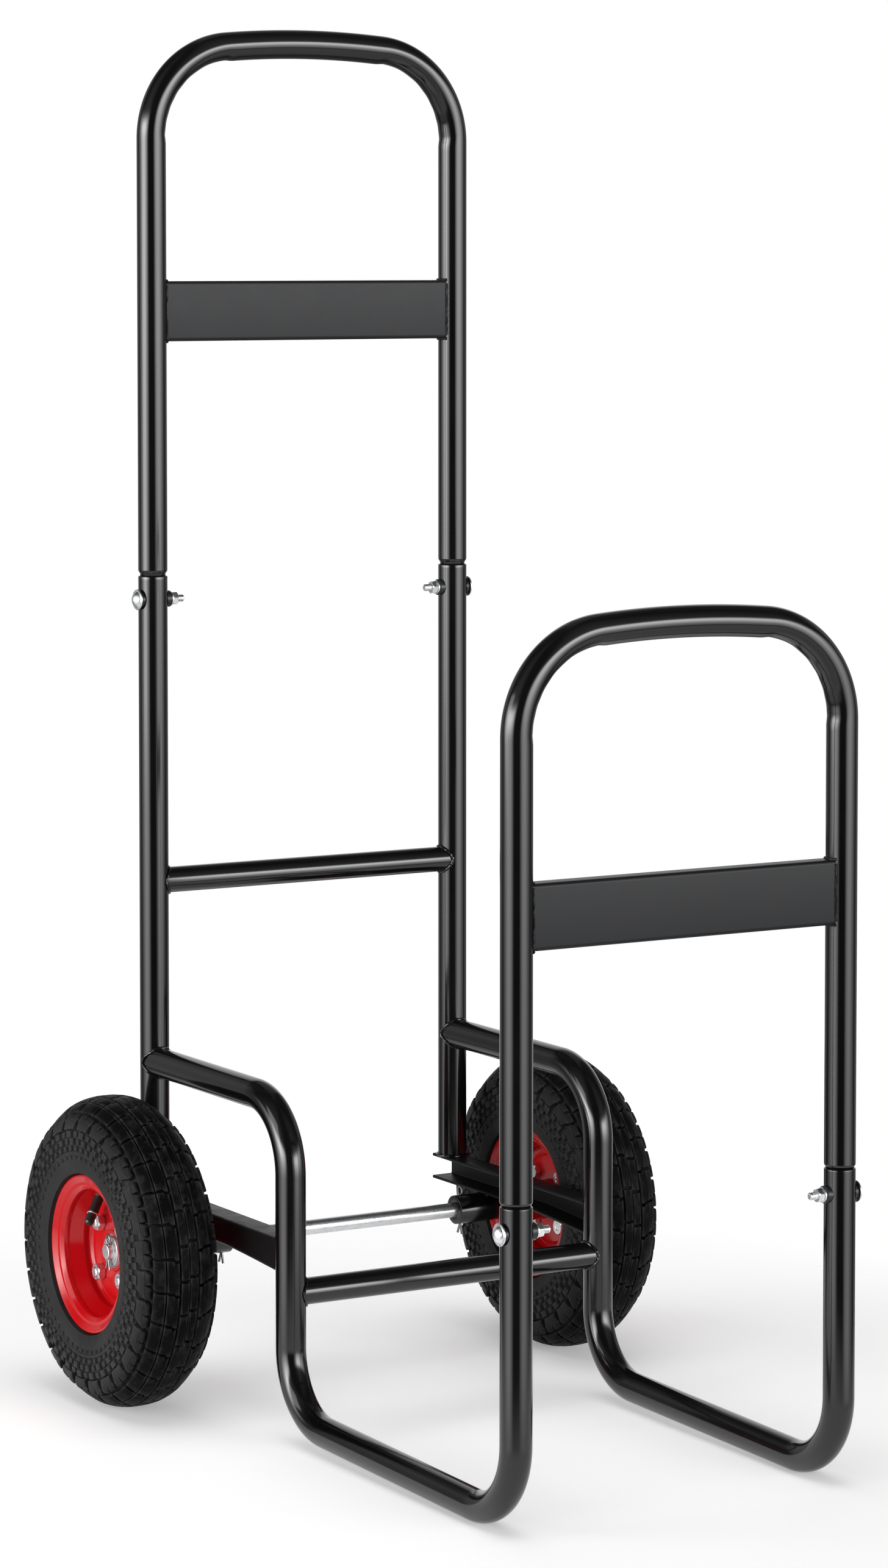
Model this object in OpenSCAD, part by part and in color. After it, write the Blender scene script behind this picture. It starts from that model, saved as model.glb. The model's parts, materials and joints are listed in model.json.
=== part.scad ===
// Fireside log cart: two bent side frames with a slanting floor run and a raised deck
// over the axle, a tall push handle, a front hoop, and two pneumatic wheels on one axle.
// Origin: on the floor under the middle of the whole cart. +Z is up, the front hoop
// stands at -Y and the push handle and wheels at +Y. Sizes are in millimetres.

/* [Frame] */
// Distance between the centre lines of the left and right uprights
track_w = 296; // [240:2:400]
// Distance between the centre lines of the front and rear uprights
frame_depth = 592; // [520:2:700]
// Distance from the front uprights back to the risers in front of the wheels
bay_depth = 351; // [280:1:380]
// Height of the deck run's centre line above the floor
deck_h = 275; // [240:1:320]
// How much the floor run climbs from the front bend to the riser
run_rise = 7; // [0:0.5:15]
// Centre-line radius of the side frame's bends
frame_bend_r = 59; // [45:1:75]

/* [Tube] */
// Outside diameter of the frame tubes
tube_d = 25; // [22:0.5:28]
// Wall of the frame tubes
tube_wall = 1.5; // [1.2:0.1:2]
// Outside diameter of the two cross tubes
cross_d = 22; // [16:0.5:24]
// Height of the lower cross tube between the risers
lower_cross_h = 120; // [105:1:160]
// Height of the back cross tube between the rear uprights
back_cross_h = 430; // [340:5:600]

/* [Push handle and front hoop] */
// Height of the push handle's crown, to the top of the tube
handle_h = 1156; // [1000:2:1300]
// Height of the front hoop's crown, to the top of the tube
hoop_h = 699; // [620:1:780]
// Centre-line radius of the corners at the top
corner_r = 79; // [60:1:95]
// Centre-line radius of the slightly crowned top bar
crown_r = 850; // [600:10:1500]
// Height of the socket mouth where the handle plugs in
handle_joint_h = 691; // [640:1:740]
// Height of the socket mouth where the hoop plugs in
hoop_joint_h = 253; // [230:1:300]
// Length of the reduced tube end inside its socket
spigot_len = 45; // [36:1:60]
// Length of the reduced tube that shows above the handle's socket
handle_neck = 2; // [0.5:0.5:4]
// Length of the reduced tube that shows above the hoop's socket
hoop_neck = 0.5; // [0.5:0.5:4]
// Length of the taper from full tube to reduced tube
taper_len = 3; // [2:0.5:5]

/* [Plates] */
// Height of the two folded cross plates
plate_h = 51; // [40:1:60]
// Sheet thickness of the cross plates
plate_t = 2; // [1.5:0.1:3]
// Depth of a cross plate with its folded edges
plate_depth = 15; // [10:0.5:18]
// Inside radius of a plate's folds
plate_fold_r = 1.5; // [1:0.1:3]
// Distance from the handle's crown down to the lower edge of its plate
handle_plate_drop = 266; // [220:2:350]
// Distance from the hoop's crown down to the lower edge of its plate
front_plate_drop = 254; // [210:1:290]

/* [Joint bolts] */
// Thread diameter of the joint bolts
bolt_d = 6; // [5:0.5:8]
// Depth of the joint bolts below the socket mouth
bolt_drop = 20; // [16:0.5:24]
// Diameter of the bolt head's flat rim
bolt_head_d = 17.5; // [15:0.5:18]
// Height of the domed bolt head with its rim
bolt_head_h = 5.2; // [4:0.1:6]
// Diameter of the saddles that seat on the tubes
saddle_d = 14; // [12.5:0.5:16]
// Thickness of a saddle under a bolt head, at its middle
head_saddle_t = 1.6; // [1.2:0.1:3]
// Thickness of a saddle under a nut, at its middle
nut_saddle_t = 3.4; // [2:0.1:5]
// Outside diameter of the washers under the joint nuts
washer_d = 12; // [11:0.5:14]
// Thickness of the washers under the joint nuts
washer_t = 1.2; // [1:0.1:1.8]
// Width of the joint nuts across flats
nut_af = 10; // [9:0.5:11]
// Height of the joint nuts
nut_h = 5; // [4:0.1:7]
// Thread that stands out past the joint nut
bolt_tail = 6.5; // [2:0.5:8]

/* [Axle] */
// Diameter of the axle rod
axle_d = 12.7; // [12:0.1:13]
// Outside diameter of the axle sleeves under the brackets
sleeve_d = 25; // [20:0.5:28]
// Distance of a sleeve's inner end from the upright's centre line
sleeve_reach = 36; // [30:1:60]
// Depth of the axle bracket behind the wheel
bracket_h = 22.3; // [20:0.1:40]
// Depth of the axle bracket where it meets the riser
bracket_front_h = 28; // [24:0.5:45]
// Width of the axle bracket's folded edges
bracket_w = 22; // [16:0.5:24]
// Sheet thickness of the axle brackets
bracket_t = 2.5; // [2:0.1:3.5]
// Share of the way from riser to sleeve over which the bracket changes its depth
bracket_taper_share = 0.6; // [0.4:0.01:0.7]
// Outside diameter of the axle washers
axle_washer_d = 26; // [22:0.5:30]
// Thickness of the axle washers
axle_washer_t = 2; // [1.5:0.1:3]
// Wire diameter of the cotter pins
cotter_d = 3; // [2:0.1:3.6]

/* [Wheels] */
// Outside diameter of the tyres
tyre_d = 260; // [250:1:275]
// Width of the tyres
tyre_w = 72; // [68:1:80]
// Distance of the axle ahead of the rear uprights' centre line
axle_ahead = 64; // [47:1:80]
// Distance from an upright's centre line out to the middle of its wheel
wheel_out = 67; // [64:0.5:80]
// Thickness of the tyre's side walls
tyre_side_t = 4.5; // [3.5:0.1:5.5]
// Thickness of the tyre's tread
tread_t = 7; // [6:0.1:9]
// Depth of the grooves round the tread
groove_depth = 3; // [1:0.1:4]
// Wall of the inner tube
inner_tube_t = 2; // [1.5:0.1:2.5]
// Radius of the rim at the edge of its flange
rim_flange_r = 66; // [64:0.5:67]
// Radius of the rim at the bead seat
rim_seat_r = 54.6; // [54:0.1:54.8]
// Radius of the rim at the bottom of its well
rim_well_r = 49; // [48:0.1:50]
// Sheet thickness of the rim halves
rim_t = 2; // [1.6:0.1:2.4]
// Distance from the wheel's middle to the outside of the rim flange
rim_flange_out = 29.5; // [29:0.1:30]
// Radius of the raised disc in the middle of the rim
rim_disc_r = 38; // [37:0.5:40]
// Distance from the wheel's middle to the face of the raised disc
rim_disc_out = 5; // [4:0.1:6]
// Wall of the hub round its bearings
hub_wall = 2.7; // [2:0.1:3.5]
// Length of the hub outward from the wheel's middle
hub_out = 6; // [5.5:0.1:8]
// Length of the hub inward from the wheel's middle
hub_in = 51; // [40:1:51]
// Radius of the circle of rim bolts
rim_bolt_r = 30; // [28.5:0.5:30]
// Number of rim bolts
rim_bolts_n = 4; // [3:1:6]
// Thread diameter of the rim bolts
rim_bolt_d = 8; // [6:0.5:8]
// Width of the rim nuts and bolt heads across flats
rim_nut_af = 13; // [10:0.5:13]
// Height of the rim nuts
rim_nut_h = 6.5; // [5:0.1:7]
// Outside diameter of the wheel bearings
bearing_d = 28.6; // [28:0.1:30]
// Width of the wheel bearings
bearing_w = 8; // [7:0.1:9]
// Number of balls in each bearing
balls_n = 7; // [6:1:8]
// Diameter of the bearing balls
ball_d = 4.4; // [4:0.1:4.8]

/* [Valve] */
// Angle of the valve back from the top of the wheel
valve_angle = 23; // [0:1:45]
// Lean of the valve out of the wheel
valve_lean = 34; // [25:1:36]
// Diameter of the rubber valve stem
valve_d = 8.5; // [7:0.1:9]
// Length of the valve stem from the rim's well to its shoulder
valve_len = 19; // [16:0.5:21]
// Length of the valve cap
cap_len = 10; // [8:0.5:12]

/* [Fits] */
// Clearance between a reduced tube end and its socket, on the radius
spigot_gap = 0.1; // [0.05:0.01:0.2]
// Gap left at seats and coped tube ends
seat_gap = 0.1; // [0.05:0.01:0.3]
// Clearance of a bolt in its hole, on the radius
bolt_gap = 0.2; // [0.1:0.05:0.4]
// Running clearance on the axle and in the bearings, on the radius
run_gap = 0.05; // [0.02:0.01:0.08]
// End play between the hub and its washers
end_gap = 0.2; // [0.1:0.05:0.3]

/* [Hidden] */
$fn = 64;

tube_r = tube_d / 2;
bore_r = tube_r - tube_wall;
spigot_r = bore_r - spigot_gap;
upright_x = track_w / 2;
tyre_r = tyre_d / 2;
front_y = -(frame_depth - axle_ahead + tyre_r - tube_r) / 2;
riser_y = front_y + bay_depth;
rear_y = front_y + frame_depth;
axle_y = rear_y - axle_ahead;
handle_plate_z = handle_h - handle_plate_drop;
front_plate_z = hoop_h - front_plate_drop;
axle_z = tyre_r;
wheel_x = upright_x + wheel_out;

// Side frame: the floor run slants, so the front bend alone touches the floor
run_slope = atan(run_rise / bay_depth);
front_corner_z = tube_r - frame_bend_r * (tan(45 + run_slope / 2) - 1);
riser_corner_z = front_corner_z + run_rise;

// Axle bracket: a channel whose lower edge rests on the axle sleeve
bracket_low_z = axle_z + sleeve_d / 2 + seat_gap;
bracket_top_z = bracket_low_z + bracket_h;
bracket_set_in = 2;
bracket_x = upright_x + tube_r - bracket_w / 2 - bracket_set_in;
bracket_end_y = rear_y + tube_r + bracket_set_in;
bracket_taper_y = riser_y + (axle_y - sleeve_d / 2 - riser_y) * bracket_taper_share;

// Wheel, measured along its axle from the middle, positive outward
wheel_gap = end_gap * 2 + axle_washer_t;
sleeve_out_x = wheel_x - hub_in - wheel_gap;
sleeve_in_x = upright_x - sleeve_reach;
outer_cotter_out = hub_out + wheel_gap + cotter_d / 2 + seat_gap;
axle_end_x = wheel_x + outer_cotter_out + cotter_d;
inner_cotter_x = sleeve_in_x + cotter_d * 2;
section_n = 2.5;
bead_reach = 4.3;
section_h = (tyre_r - rim_seat_r) / 2 + bead_reach;
section_r = tyre_r - section_h;
cavity_w = tyre_w / 2 - tyre_side_t;
cavity_h = section_h - tread_t;
bead_gap = 0.3;
bead_in = 18;
bead_top_r = rim_flange_r + 7;
flange_in = rim_flange_out - rim_t - 1.6;
groove_w = 2.4;
bearing_r = bearing_d / 2;
hub_r = bearing_r + hub_wall;
disc_in = rim_disc_out - rim_t;
race_r = (axle_d / 2 + bearing_r) / 2;
ball_sink = 0.425;
ring_t = (bearing_r - axle_d / 2 - ball_d) / 2 + ball_sink;
valve_hole_r = valve_d / 2 + 0.6;
valve_root_out = 7.5;
valve_foot = 9;

// Tubes neck in a little round a bend, and each straight laps into the bend it meets
bend_neck = 0.1;
bend_lap = 0.5;
crown_link = 4;
cope_short = 3;

black = [0.09, 0.09, 0.095];
plate_grey = [0.2, 0.2, 0.21];
zinc = [0.78, 0.79, 0.8];
rubber = [0.07, 0.07, 0.07];
red = [0.72, 0.05, 0.05];

// Directions and corners in a plane, for bent tubes
function heading(from, to) = (to - from) / norm(to - from);
function left_of(v) = [-v[1], v[0]];
function turn(a, b) = atan2(a[0] * b[1] - a[1] * b[0], a * b);
// Points of a rounded oval: half width w, half height h, squareness n
function oval(w, h, n, steps) = [
    for (k = [0 : steps - 1])
        let (c = cos(360 * k / steps), s = sin(360 * k / steps))
        [w * sign(c) * pow(abs(c), 2 / n), h * sign(s) * pow(abs(s), 2 / n)]
];

module on_side(side) {
    if (side < 0) mirror([1, 0, 0]) children();
    else children();
}

module both_sides() {
    for (side = [-1, 1]) on_side(side) children();
}

// Puts a shape drawn round the Z axis on a wheel's axle, with +Z outward
module at_wheel(side) {
    on_side(side) translate([wheel_x, axle_y, axle_z]) rotate([0, 90, 0]) children();
}

module along_x(x0, x1, r) {
    translate([x0, 0, 0]) rotate([0, 90, 0]) cylinder(h = x1 - x0, r = r);
}

module ring(r_out, r_in, h) {
    difference() {
        cylinder(h = h, r = r_out);
        translate([0, 0, -1]) cylinder(h = h + 2, r = r_in);
    }
}

module tube_section(trim) {
    difference() {
        circle(r = tube_r - trim);
        circle(r = bore_r - trim);
    }
}

// Straight tube in the XY plane
module straight_tube(from, to) {
    way = heading(from, to);
    translate([from[0], from[1], 0])
        rotate([0, 0, atan2(way[1], way[0])])
            rotate([0, 90, 0])
                linear_extrude(height = norm(to - from)) tube_section(0);
}

// Elbow in the XY plane round a centre, from one angle, through a positive sweep
module elbow(centre, bend_r, start, sweep) {
    translate([centre[0], centre[1], 0])
        rotate([0, 0, start])
            rotate_extrude(angle = sweep) translate([bend_r, 0]) tube_section(bend_neck);
}

// Tube bent round the inner corners of a path in the XY plane, one radius for each corner
module bent_tube(path, radii) {
    last = len(path) - 1;
    ways = [for (i = [0 : last - 1]) heading(path[i], path[i + 1])];
    turns = [for (i = [1 : last - 1]) turn(ways[i - 1], ways[i])];
    trims = [for (i = [0 : last - 2]) radii[i] * tan(abs(turns[i]) / 2) - bend_lap];
    cuts = concat([0], trims, [0]);
    for (i = [0 : last - 1])
        straight_tube(path[i] + ways[i] * cuts[i], path[i + 1] - ways[i] * cuts[i + 1]);
    for (i = [1 : last - 1]) {
        hand = sign(turns[i - 1]);
        bend_r = radii[i - 1];
        side = left_of(ways[i - 1]) * hand;
        centre = path[i] - ways[i - 1] * (cuts[i] + bend_lap) + side * bend_r;
        first = atan2(-side[1], -side[0]);
        elbow(centre, bend_r, hand > 0 ? first : first + turns[i - 1], abs(turns[i - 1]));
    }
}

// Side frame drawn in its own plane: X is the cart's Y and Y is height
module side_frame() {
    path = [
        [front_y, hoop_joint_h],
        [front_y, front_corner_z],
        [riser_y, riser_corner_z],
        [riser_y, deck_h],
        [rear_y - cope_short, deck_h]
    ];
    color(black)
    difference() {
        translate([upright_x, 0, 0])
            rotate([90, 0, 90])
                bent_tube(path, [frame_bend_r, frame_bend_r, frame_bend_r]);
        translate([upright_x, rear_y, deck_h - tube_d])
            cylinder(h = tube_d * 2, r = tube_r + seat_gap);
        joint_hole(front_y, hoop_joint_h);
    }
}

module joint_hole(y, joint_h) {
    translate([0, y, joint_h - bolt_drop])
        along_x(upright_x - tube_d, upright_x + tube_d, bolt_d / 2 + bolt_gap);
}

module rear_upright() {
    color(black)
    difference() {
        translate([upright_x, rear_y, bracket_top_z])
            ring(tube_r, bore_r, handle_joint_h - bracket_top_z);
        joint_hole(rear_y, handle_joint_h);
    }
}

// Folded channel, open towards the middle of the cart, deeper where it meets the riser
module axle_bracket() {
    low = bracket_low_z;
    front_low = bracket_top_z - bracket_front_h;
    wall = bracket_t;
    color(black)
    difference() {
        translate([bracket_x - bracket_w / 2, 0, 0])
            rotate([90, 0, 90])
                linear_extrude(height = bracket_w)
                    polygon([
                        [riser_y, bracket_top_z], [riser_y, front_low],
                        [bracket_taper_y, low], [bracket_end_y, low],
                        [bracket_end_y, bracket_top_z]
                    ]);
        translate([bracket_x - bracket_w / 2 - 1, 0, 0])
            rotate([90, 0, 90])
                linear_extrude(height = bracket_w - wall + 1)
                    polygon([
                        [riser_y - 1, bracket_top_z - wall], [riser_y - 1, front_low + wall],
                        [riser_y, front_low + wall],
                        [bracket_taper_y, low + wall], [bracket_end_y + 1, low + wall],
                        [bracket_end_y + 1, bracket_top_z - wall]
                    ]);
        translate([upright_x, riser_y, 0])
            cylinder(h = deck_h, r = tube_r + seat_gap);
    }
}

module axle_sleeve() {
    color(black)
    difference() {
        translate([sleeve_in_x, axle_y, axle_z])
            rotate([0, 90, 0])
                ring(sleeve_d / 2, axle_d / 2 + run_gap, sleeve_out_x - sleeve_in_x);
        cotter_hole(inner_cotter_x);
    }
}

module cotter_hole(x) {
    translate([x, axle_y, axle_z - sleeve_d])
        cylinder(h = sleeve_d * 2, r = cotter_d / 2 + seat_gap * 2);
}

// Cross tube whose ends are coped round the two uprights or risers that it joins
module cross_tube(y, z) {
    color(black)
    difference() {
        translate([-upright_x, y, z])
            rotate([0, 90, 0])
                ring(cross_d / 2, cross_d / 2 - tube_wall, track_w);
        for (x = [-upright_x, upright_x])
            translate([x, y, z - cross_d])
                cylinder(h = cross_d * 2, r = tube_r + seat_gap);
    }
}

module lower_cross_tube() {
    cross_tube(riser_y, lower_cross_h);
}

module back_cross_tube() {
    cross_tube(rear_y, back_cross_h);
}

// Reduced end of a hoop leg, from full tube down to the bottom of the socket
module spigot(neck) {
    length = neck + spigot_len;
    inner_r = spigot_r - tube_wall;
    rotate_extrude()
        polygon([
            [bore_r - bend_neck, 0], [bore_r - bend_neck, bend_lap],
            [tube_r - bend_neck, bend_lap], [tube_r - bend_neck, 0],
            [spigot_r, -taper_len], [spigot_r, -taper_len - length],
            [inner_r, -taper_len - length], [inner_r, -taper_len]
        ]);
}

// Hoop drawn as an upright arch: two legs, two corners and a slightly crowned top bar
module hoop(y, top_h, joint_h, neck) {
    $fn = 48;
    reach = upright_x - corner_r - crown_link;
    crown_half = asin(reach / (crown_r - corner_r));
    apex_z = top_h - tube_r + crown_r * (1 / cos(crown_half) - 1);
    corner_z = apex_z - upright_x * tan(crown_half);
    leg_z = joint_h + neck + taper_len;
    path = [
        [-upright_x, leg_z],
        [-upright_x, corner_z],
        [0, apex_z],
        [upright_x, corner_z],
        [upright_x, leg_z]
    ];
    color(black)
    difference() {
        union() {
            translate([0, y, 0]) rotate([90, 0, 0])
                bent_tube(path, [corner_r, crown_r, corner_r]);
            for (x = [-upright_x, upright_x])
                translate([x, y, leg_z]) spigot(neck);
        }
        both_sides() joint_hole(y, joint_h);
    }
}

module push_handle() {
    hoop(rear_y, handle_h, handle_joint_h, handle_neck);
}

module front_hoop() {
    hoop(front_y, hoop_h, hoop_joint_h, hoop_neck);
}

// Quarter of a sheet's fold, with its centre at the origin
module fold_section(turn_by) {
    rotate([0, 0, turn_by])
    intersection() {
        difference() {
            circle(r = plate_fold_r + plate_t);
            circle(r = plate_fold_r);
        }
        square(plate_fold_r + plate_t);
    }
}

// Folded cross plate between the legs of a hoop, its face towards the front
module cross_plate(y, z) {
    fold = plate_fold_r + plate_t;
    edge_len = plate_depth - fold;
    color(plate_grey)
    difference() {
        translate([-upright_x, y - plate_depth / 2, z])
            rotate([90, 0, 90])
                linear_extrude(height = track_w) {
                    translate([0, fold]) square([plate_t, plate_h - fold * 2]);
                    translate([fold, 0]) square([edge_len, plate_t]);
                    translate([fold, plate_h - plate_t]) square([edge_len, plate_t]);
                    translate([fold, fold]) fold_section(180);
                    translate([fold, plate_h - fold]) fold_section(90);
                }
        for (x = [-upright_x, upright_x])
            translate([x, y, z - 1])
                cylinder(h = plate_h + 2, r = tube_r + seat_gap);
    }
}

module handle_plate() {
    cross_plate(rear_y, handle_plate_z);
}

module front_plate() {
    cross_plate(front_y, front_plate_z);
}

// Places for the four joint bolts, drawn along +X with the tube's middle at zero
module at_joints() {
    both_sides() {
        translate([upright_x, front_y, hoop_joint_h - bolt_drop]) children();
        translate([upright_x, rear_y, handle_joint_h - bolt_drop]) children();
    }
}

// Domed head with a flat rim, drawn from its underside along +Z
module bolt_head() {
    rim_h = 1.3;
    dome_w = bolt_head_d / 2 - 1.8;
    dome_r = (pow(dome_w, 2) + pow(bolt_head_h, 2)) / (2 * bolt_head_h);
    cylinder(h = rim_h, r = bolt_head_d / 2);
    intersection() {
        cylinder(h = bolt_head_h, r = bolt_head_d / 2);
        translate([0, 0, bolt_head_h - dome_r]) sphere(r = dome_r);
    }
}

module joint_bolts() {
    head_x = tube_r + head_saddle_t + seat_gap;
    tail_x = -tube_r - nut_saddle_t - washer_t - seat_gap * 2 - nut_h - bolt_tail;
    color(zinc) at_joints() {
        along_x(tail_x, head_x + bolt_head_h / 3, bolt_d / 2);
        translate([head_x, 0, 0]) rotate([0, 90, 0]) bolt_head();
    }
}

// Saddles, hollowed to the tube on one side and flat under the head and the washer
module joint_saddles() {
    rim_x = tube_r - sqrt(pow(tube_r, 2) - pow(saddle_d / 2, 2));
    color(black) at_joints()
    difference() {
        union() {
            along_x(tube_r - rim_x, tube_r + head_saddle_t, saddle_d / 2);
            along_x(-tube_r - nut_saddle_t, rim_x - tube_r, saddle_d / 2);
        }
        translate([0, 0, -saddle_d]) cylinder(h = saddle_d * 2, r = tube_r + seat_gap);
        along_x(-tube_d, tube_d, bolt_d / 2 + bolt_gap);
    }
}

module joint_washers() {
    color(zinc) at_joints()
        translate([-tube_r - nut_saddle_t - seat_gap, 0, 0])
            rotate([0, -90, 0])
                ring(washer_d / 2, bolt_d / 2 + bolt_gap, washer_t);
}

module hex_nut(af, h, hole_r) {
    difference() {
        cylinder(h = h, r = af / 2 / cos(30), $fn = 6);
        translate([0, 0, -1]) cylinder(h = h + 2, r = hole_r);
    }
}

module joint_nuts() {
    color(zinc) at_joints()
        translate([-tube_r - nut_saddle_t - washer_t - seat_gap * 2, 0, 0])
            rotate([0, -90, 0])
                hex_nut(nut_af, nut_h, bolt_d / 2 + run_gap);
}

module axle() {
    chamfer = 1;
    color(zinc)
    difference() {
        translate([0, axle_y, axle_z]) {
            along_x(-axle_end_x + chamfer, axle_end_x - chamfer, axle_d / 2);
            both_sides()
                translate([axle_end_x - chamfer, 0, 0])
                    rotate([0, 90, 0])
                        cylinder(h = chamfer, r1 = axle_d / 2, r2 = axle_d / 2 - chamfer);
        }
        both_sides() {
            cotter_hole(wheel_x + outer_cotter_out);
            cotter_hole(inner_cotter_x);
        }
    }
}

module axle_washers() {
    inner_z = -hub_in - end_gap - axle_washer_t;
    color(zinc)
    for (side = [-1, 1])
        for (z = [inner_z, hub_out + end_gap])
            at_wheel(side)
                translate([0, 0, z])
                    ring(axle_washer_d / 2, axle_d / 2 + run_gap, axle_washer_t);
}

// Split pin, drawn upright through the origin: an eye on top and two spread legs
module cotter_pin(hole_len) {
    eye_r = cotter_d * 1.1;
    half = hole_len / 2 + 0.5;
    leg_len = 9;
    translate([0, 0, -half]) cylinder(h = half * 2, r = cotter_d / 2);
    translate([0, 0, half + eye_r]) rotate([0, 90, 0])
        rotate_extrude() translate([eye_r, 0]) circle(r = cotter_d / 3);
    for (lean = [-14, 22])
        translate([0, 0, -half + cotter_d / 4]) rotate([lean, 0, 0])
            translate([0, 0, -leg_len]) cylinder(h = leg_len, r = cotter_d / 4);
}

module axle_cotter_pins() {
    color(zinc) both_sides() {
        translate([wheel_x + outer_cotter_out, axle_y, axle_z]) cotter_pin(axle_d);
        translate([inner_cotter_x, axle_y, axle_z]) cotter_pin(sleeve_d);
    }
}

// Wheel sections are drawn with X as the radius and Y along the axle
module section_oval(half_w, half_h) {
    translate([section_r, 0]) rotate([0, 0, 90])
        polygon(oval(half_w, half_h, section_n, 44));
}

// Room that the tyre's two beads take from the cavity, grown by a gap
module bead_room(grow) {
    for (flip = [0, 1]) mirror([0, flip])
        polygon([
            [rim_well_r, bead_in - grow], [bead_top_r - 12, bead_in - grow],
            [bead_top_r + grow, cavity_w - 4 - grow], [bead_top_r + grow, tyre_w],
            [rim_well_r, tyre_w]
        ]);
}

module tyre() {
    grooves = [-tyre_w / 5, 0, tyre_w / 5];
    color(rubber)
    rotate_extrude()
        difference() {
            section_oval(tyre_w / 2, section_h);
            difference() {
                section_oval(cavity_w, cavity_h);
                bead_room(0);
            }
            translate([0, -tyre_w]) square([rim_seat_r + bead_gap, tyre_w * 2]);
            for (flip = [0, 1]) mirror([0, flip])
                polygon([
                    [0, tyre_w], [0, flange_in - 3], [rim_seat_r, flange_in - 3],
                    [rim_seat_r + 3 - bead_gap, flange_in - bead_gap],
                    [rim_flange_r + bead_gap * 2, flange_in - bead_gap],
                    [rim_flange_r + bead_gap * 2, tyre_w]
                ]);
            for (z = grooves)
                translate([tyre_r - groove_depth, z - groove_w / 2])
                    square([tread_t, groove_w]);
        }
}

module inner_tube() {
    color(rubber)
    rotate_extrude()
        difference() {
            section_oval(cavity_w - bead_gap, cavity_h - bead_gap);
            bead_room(bead_gap);
            difference() {
                section_oval(
                    cavity_w - bead_gap - inner_tube_t,
                    cavity_h - bead_gap - inner_tube_t);
                bead_room(bead_gap + inner_tube_t);
            }
        }
}

// Half of the split rim: raised disc, well, bead seat and flange, pressed from one sheet
module rim_half() {
    t = rim_t;
    lip = rim_flange_out;
    dish = 1;
    well_end = 12;
    well_fold = 2.6;
    seat_start = well_end + 2.5;
    seat_end = lip - t - 3.5;
    flange_face = seat_end + 1.9;
    lip_fold = 2.4;
    well_r = rim_well_r - t;
    seat_r = rim_seat_r - t;
    profile = [
        [hub_r + seat_gap, disc_in], [rim_disc_r - dish, disc_in],
        [rim_disc_r + dish, seat_gap / 2],
        [rim_well_r - t - dish, seat_gap / 2], [rim_well_r - 0.9, 0.9], [rim_well_r, t + dish],
        [rim_well_r, well_end], [rim_seat_r, seat_start], [rim_seat_r, seat_end],
        [rim_seat_r + 0.6, seat_end + 1.3], [rim_seat_r + 2, flange_face],
        [rim_flange_r - lip_fold, flange_face], [rim_flange_r - 0.7, lip - lip_fold],
        [rim_flange_r, lip - dish], [rim_flange_r - 0.8, lip],
        [rim_flange_r - lip_fold, lip - 0.5], [rim_flange_r - 3.6, lip - 1.4],
        [rim_seat_r + 0.8, lip - 1.4], [rim_seat_r - 1.3, lip - well_fold],
        [seat_r, seat_end], [seat_r, seat_start + dish],
        [well_r, well_end + dish], [well_r, t + well_fold],
        [well_r - 0.8, t + 0.8], [well_r - well_fold, t],
        [rim_disc_r + dish * 2, t], [rim_disc_r, rim_disc_out], [hub_r + seat_gap, rim_disc_out]
    ];
    difference() {
        rotate_extrude() polygon(profile);
        rim_bolt_holes();
    }
}

module rim_bolt_holes() {
    at_rim_bolts()
        translate([0, 0, -rim_disc_out * 2])
            cylinder(h = rim_disc_out * 4, r = rim_bolt_d / 2 + bolt_gap);
}

module at_rim_bolts() {
    for (k = [0 : rim_bolts_n - 1])
        rotate([0, 0, 360 * (k + 0.5) / rim_bolts_n])
            translate([rim_bolt_r, 0, 0])
                children();
}

// Puts a shape drawn along +Z on the valve's axis, which starts in the rim's well
module at_valve() {
    rotate([0, 0, 180 - valve_angle])
        translate([rim_well_r, 0, valve_root_out])
            rotate([0, -90 + valve_lean, 0])
                children();
}

module outer_rim_half() {
    color(red)
    difference() {
        rim_half();
        at_valve() translate([0, 0, -6]) cylinder(h = 16, r = valve_hole_r);
    }
}

module inner_rim_half() {
    color(red) mirror([0, 0, 1]) rim_half();
}

// Hub: a bored barrel with a bearing seat at each end and a flange between the rim discs
module hub() {
    shoulder_r = bearing_r - ring_t;
    length = hub_in + hub_out;
    color(red)
    difference() {
        union() {
            translate([0, 0, -hub_in]) cylinder(h = length, r = hub_r);
            translate([0, 0, -disc_in + seat_gap])
                cylinder(h = (disc_in - seat_gap) * 2, r = rim_disc_r - 2);
        }
        translate([0, 0, -hub_in - 1]) cylinder(h = length + 2, r = shoulder_r);
        translate([0, 0, hub_out - bearing_w]) cylinder(h = bearing_w + 1, r = bearing_r);
        translate([0, 0, -hub_in - 1]) cylinder(h = bearing_w + 1, r = bearing_r);
        rim_bolt_holes();
    }
}

// Places for a wheel's two bearings, drawn round +Z from zero to the bearing's width
module at_bearings() {
    translate([0, 0, hub_out - bearing_w]) children();
    translate([0, 0, -hub_in]) children();
}

module ball_groove() {
    rotate_extrude() translate([race_r, bearing_w / 2]) circle(r = ball_d / 2 + run_gap);
}

module bearing_outer_rings() {
    color(zinc) at_bearings()
    difference() {
        ring(bearing_r - seat_gap / 5, bearing_r - ring_t, bearing_w);
        ball_groove();
    }
}

module bearing_inner_rings(side) {
    color(zinc) at_wheel(side) at_bearings()
    difference() {
        ring(axle_d / 2 + ring_t, axle_d / 2 + run_gap / 2, bearing_w);
        ball_groove();
    }
}

module bearing_balls() {
    color(zinc) at_bearings()
        for (k = [0 : balls_n - 1])
            rotate([0, 0, 360 * k / balls_n])
                translate([race_r, 0, bearing_w / 2])
                    sphere(r = ball_d / 2);
}

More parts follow.
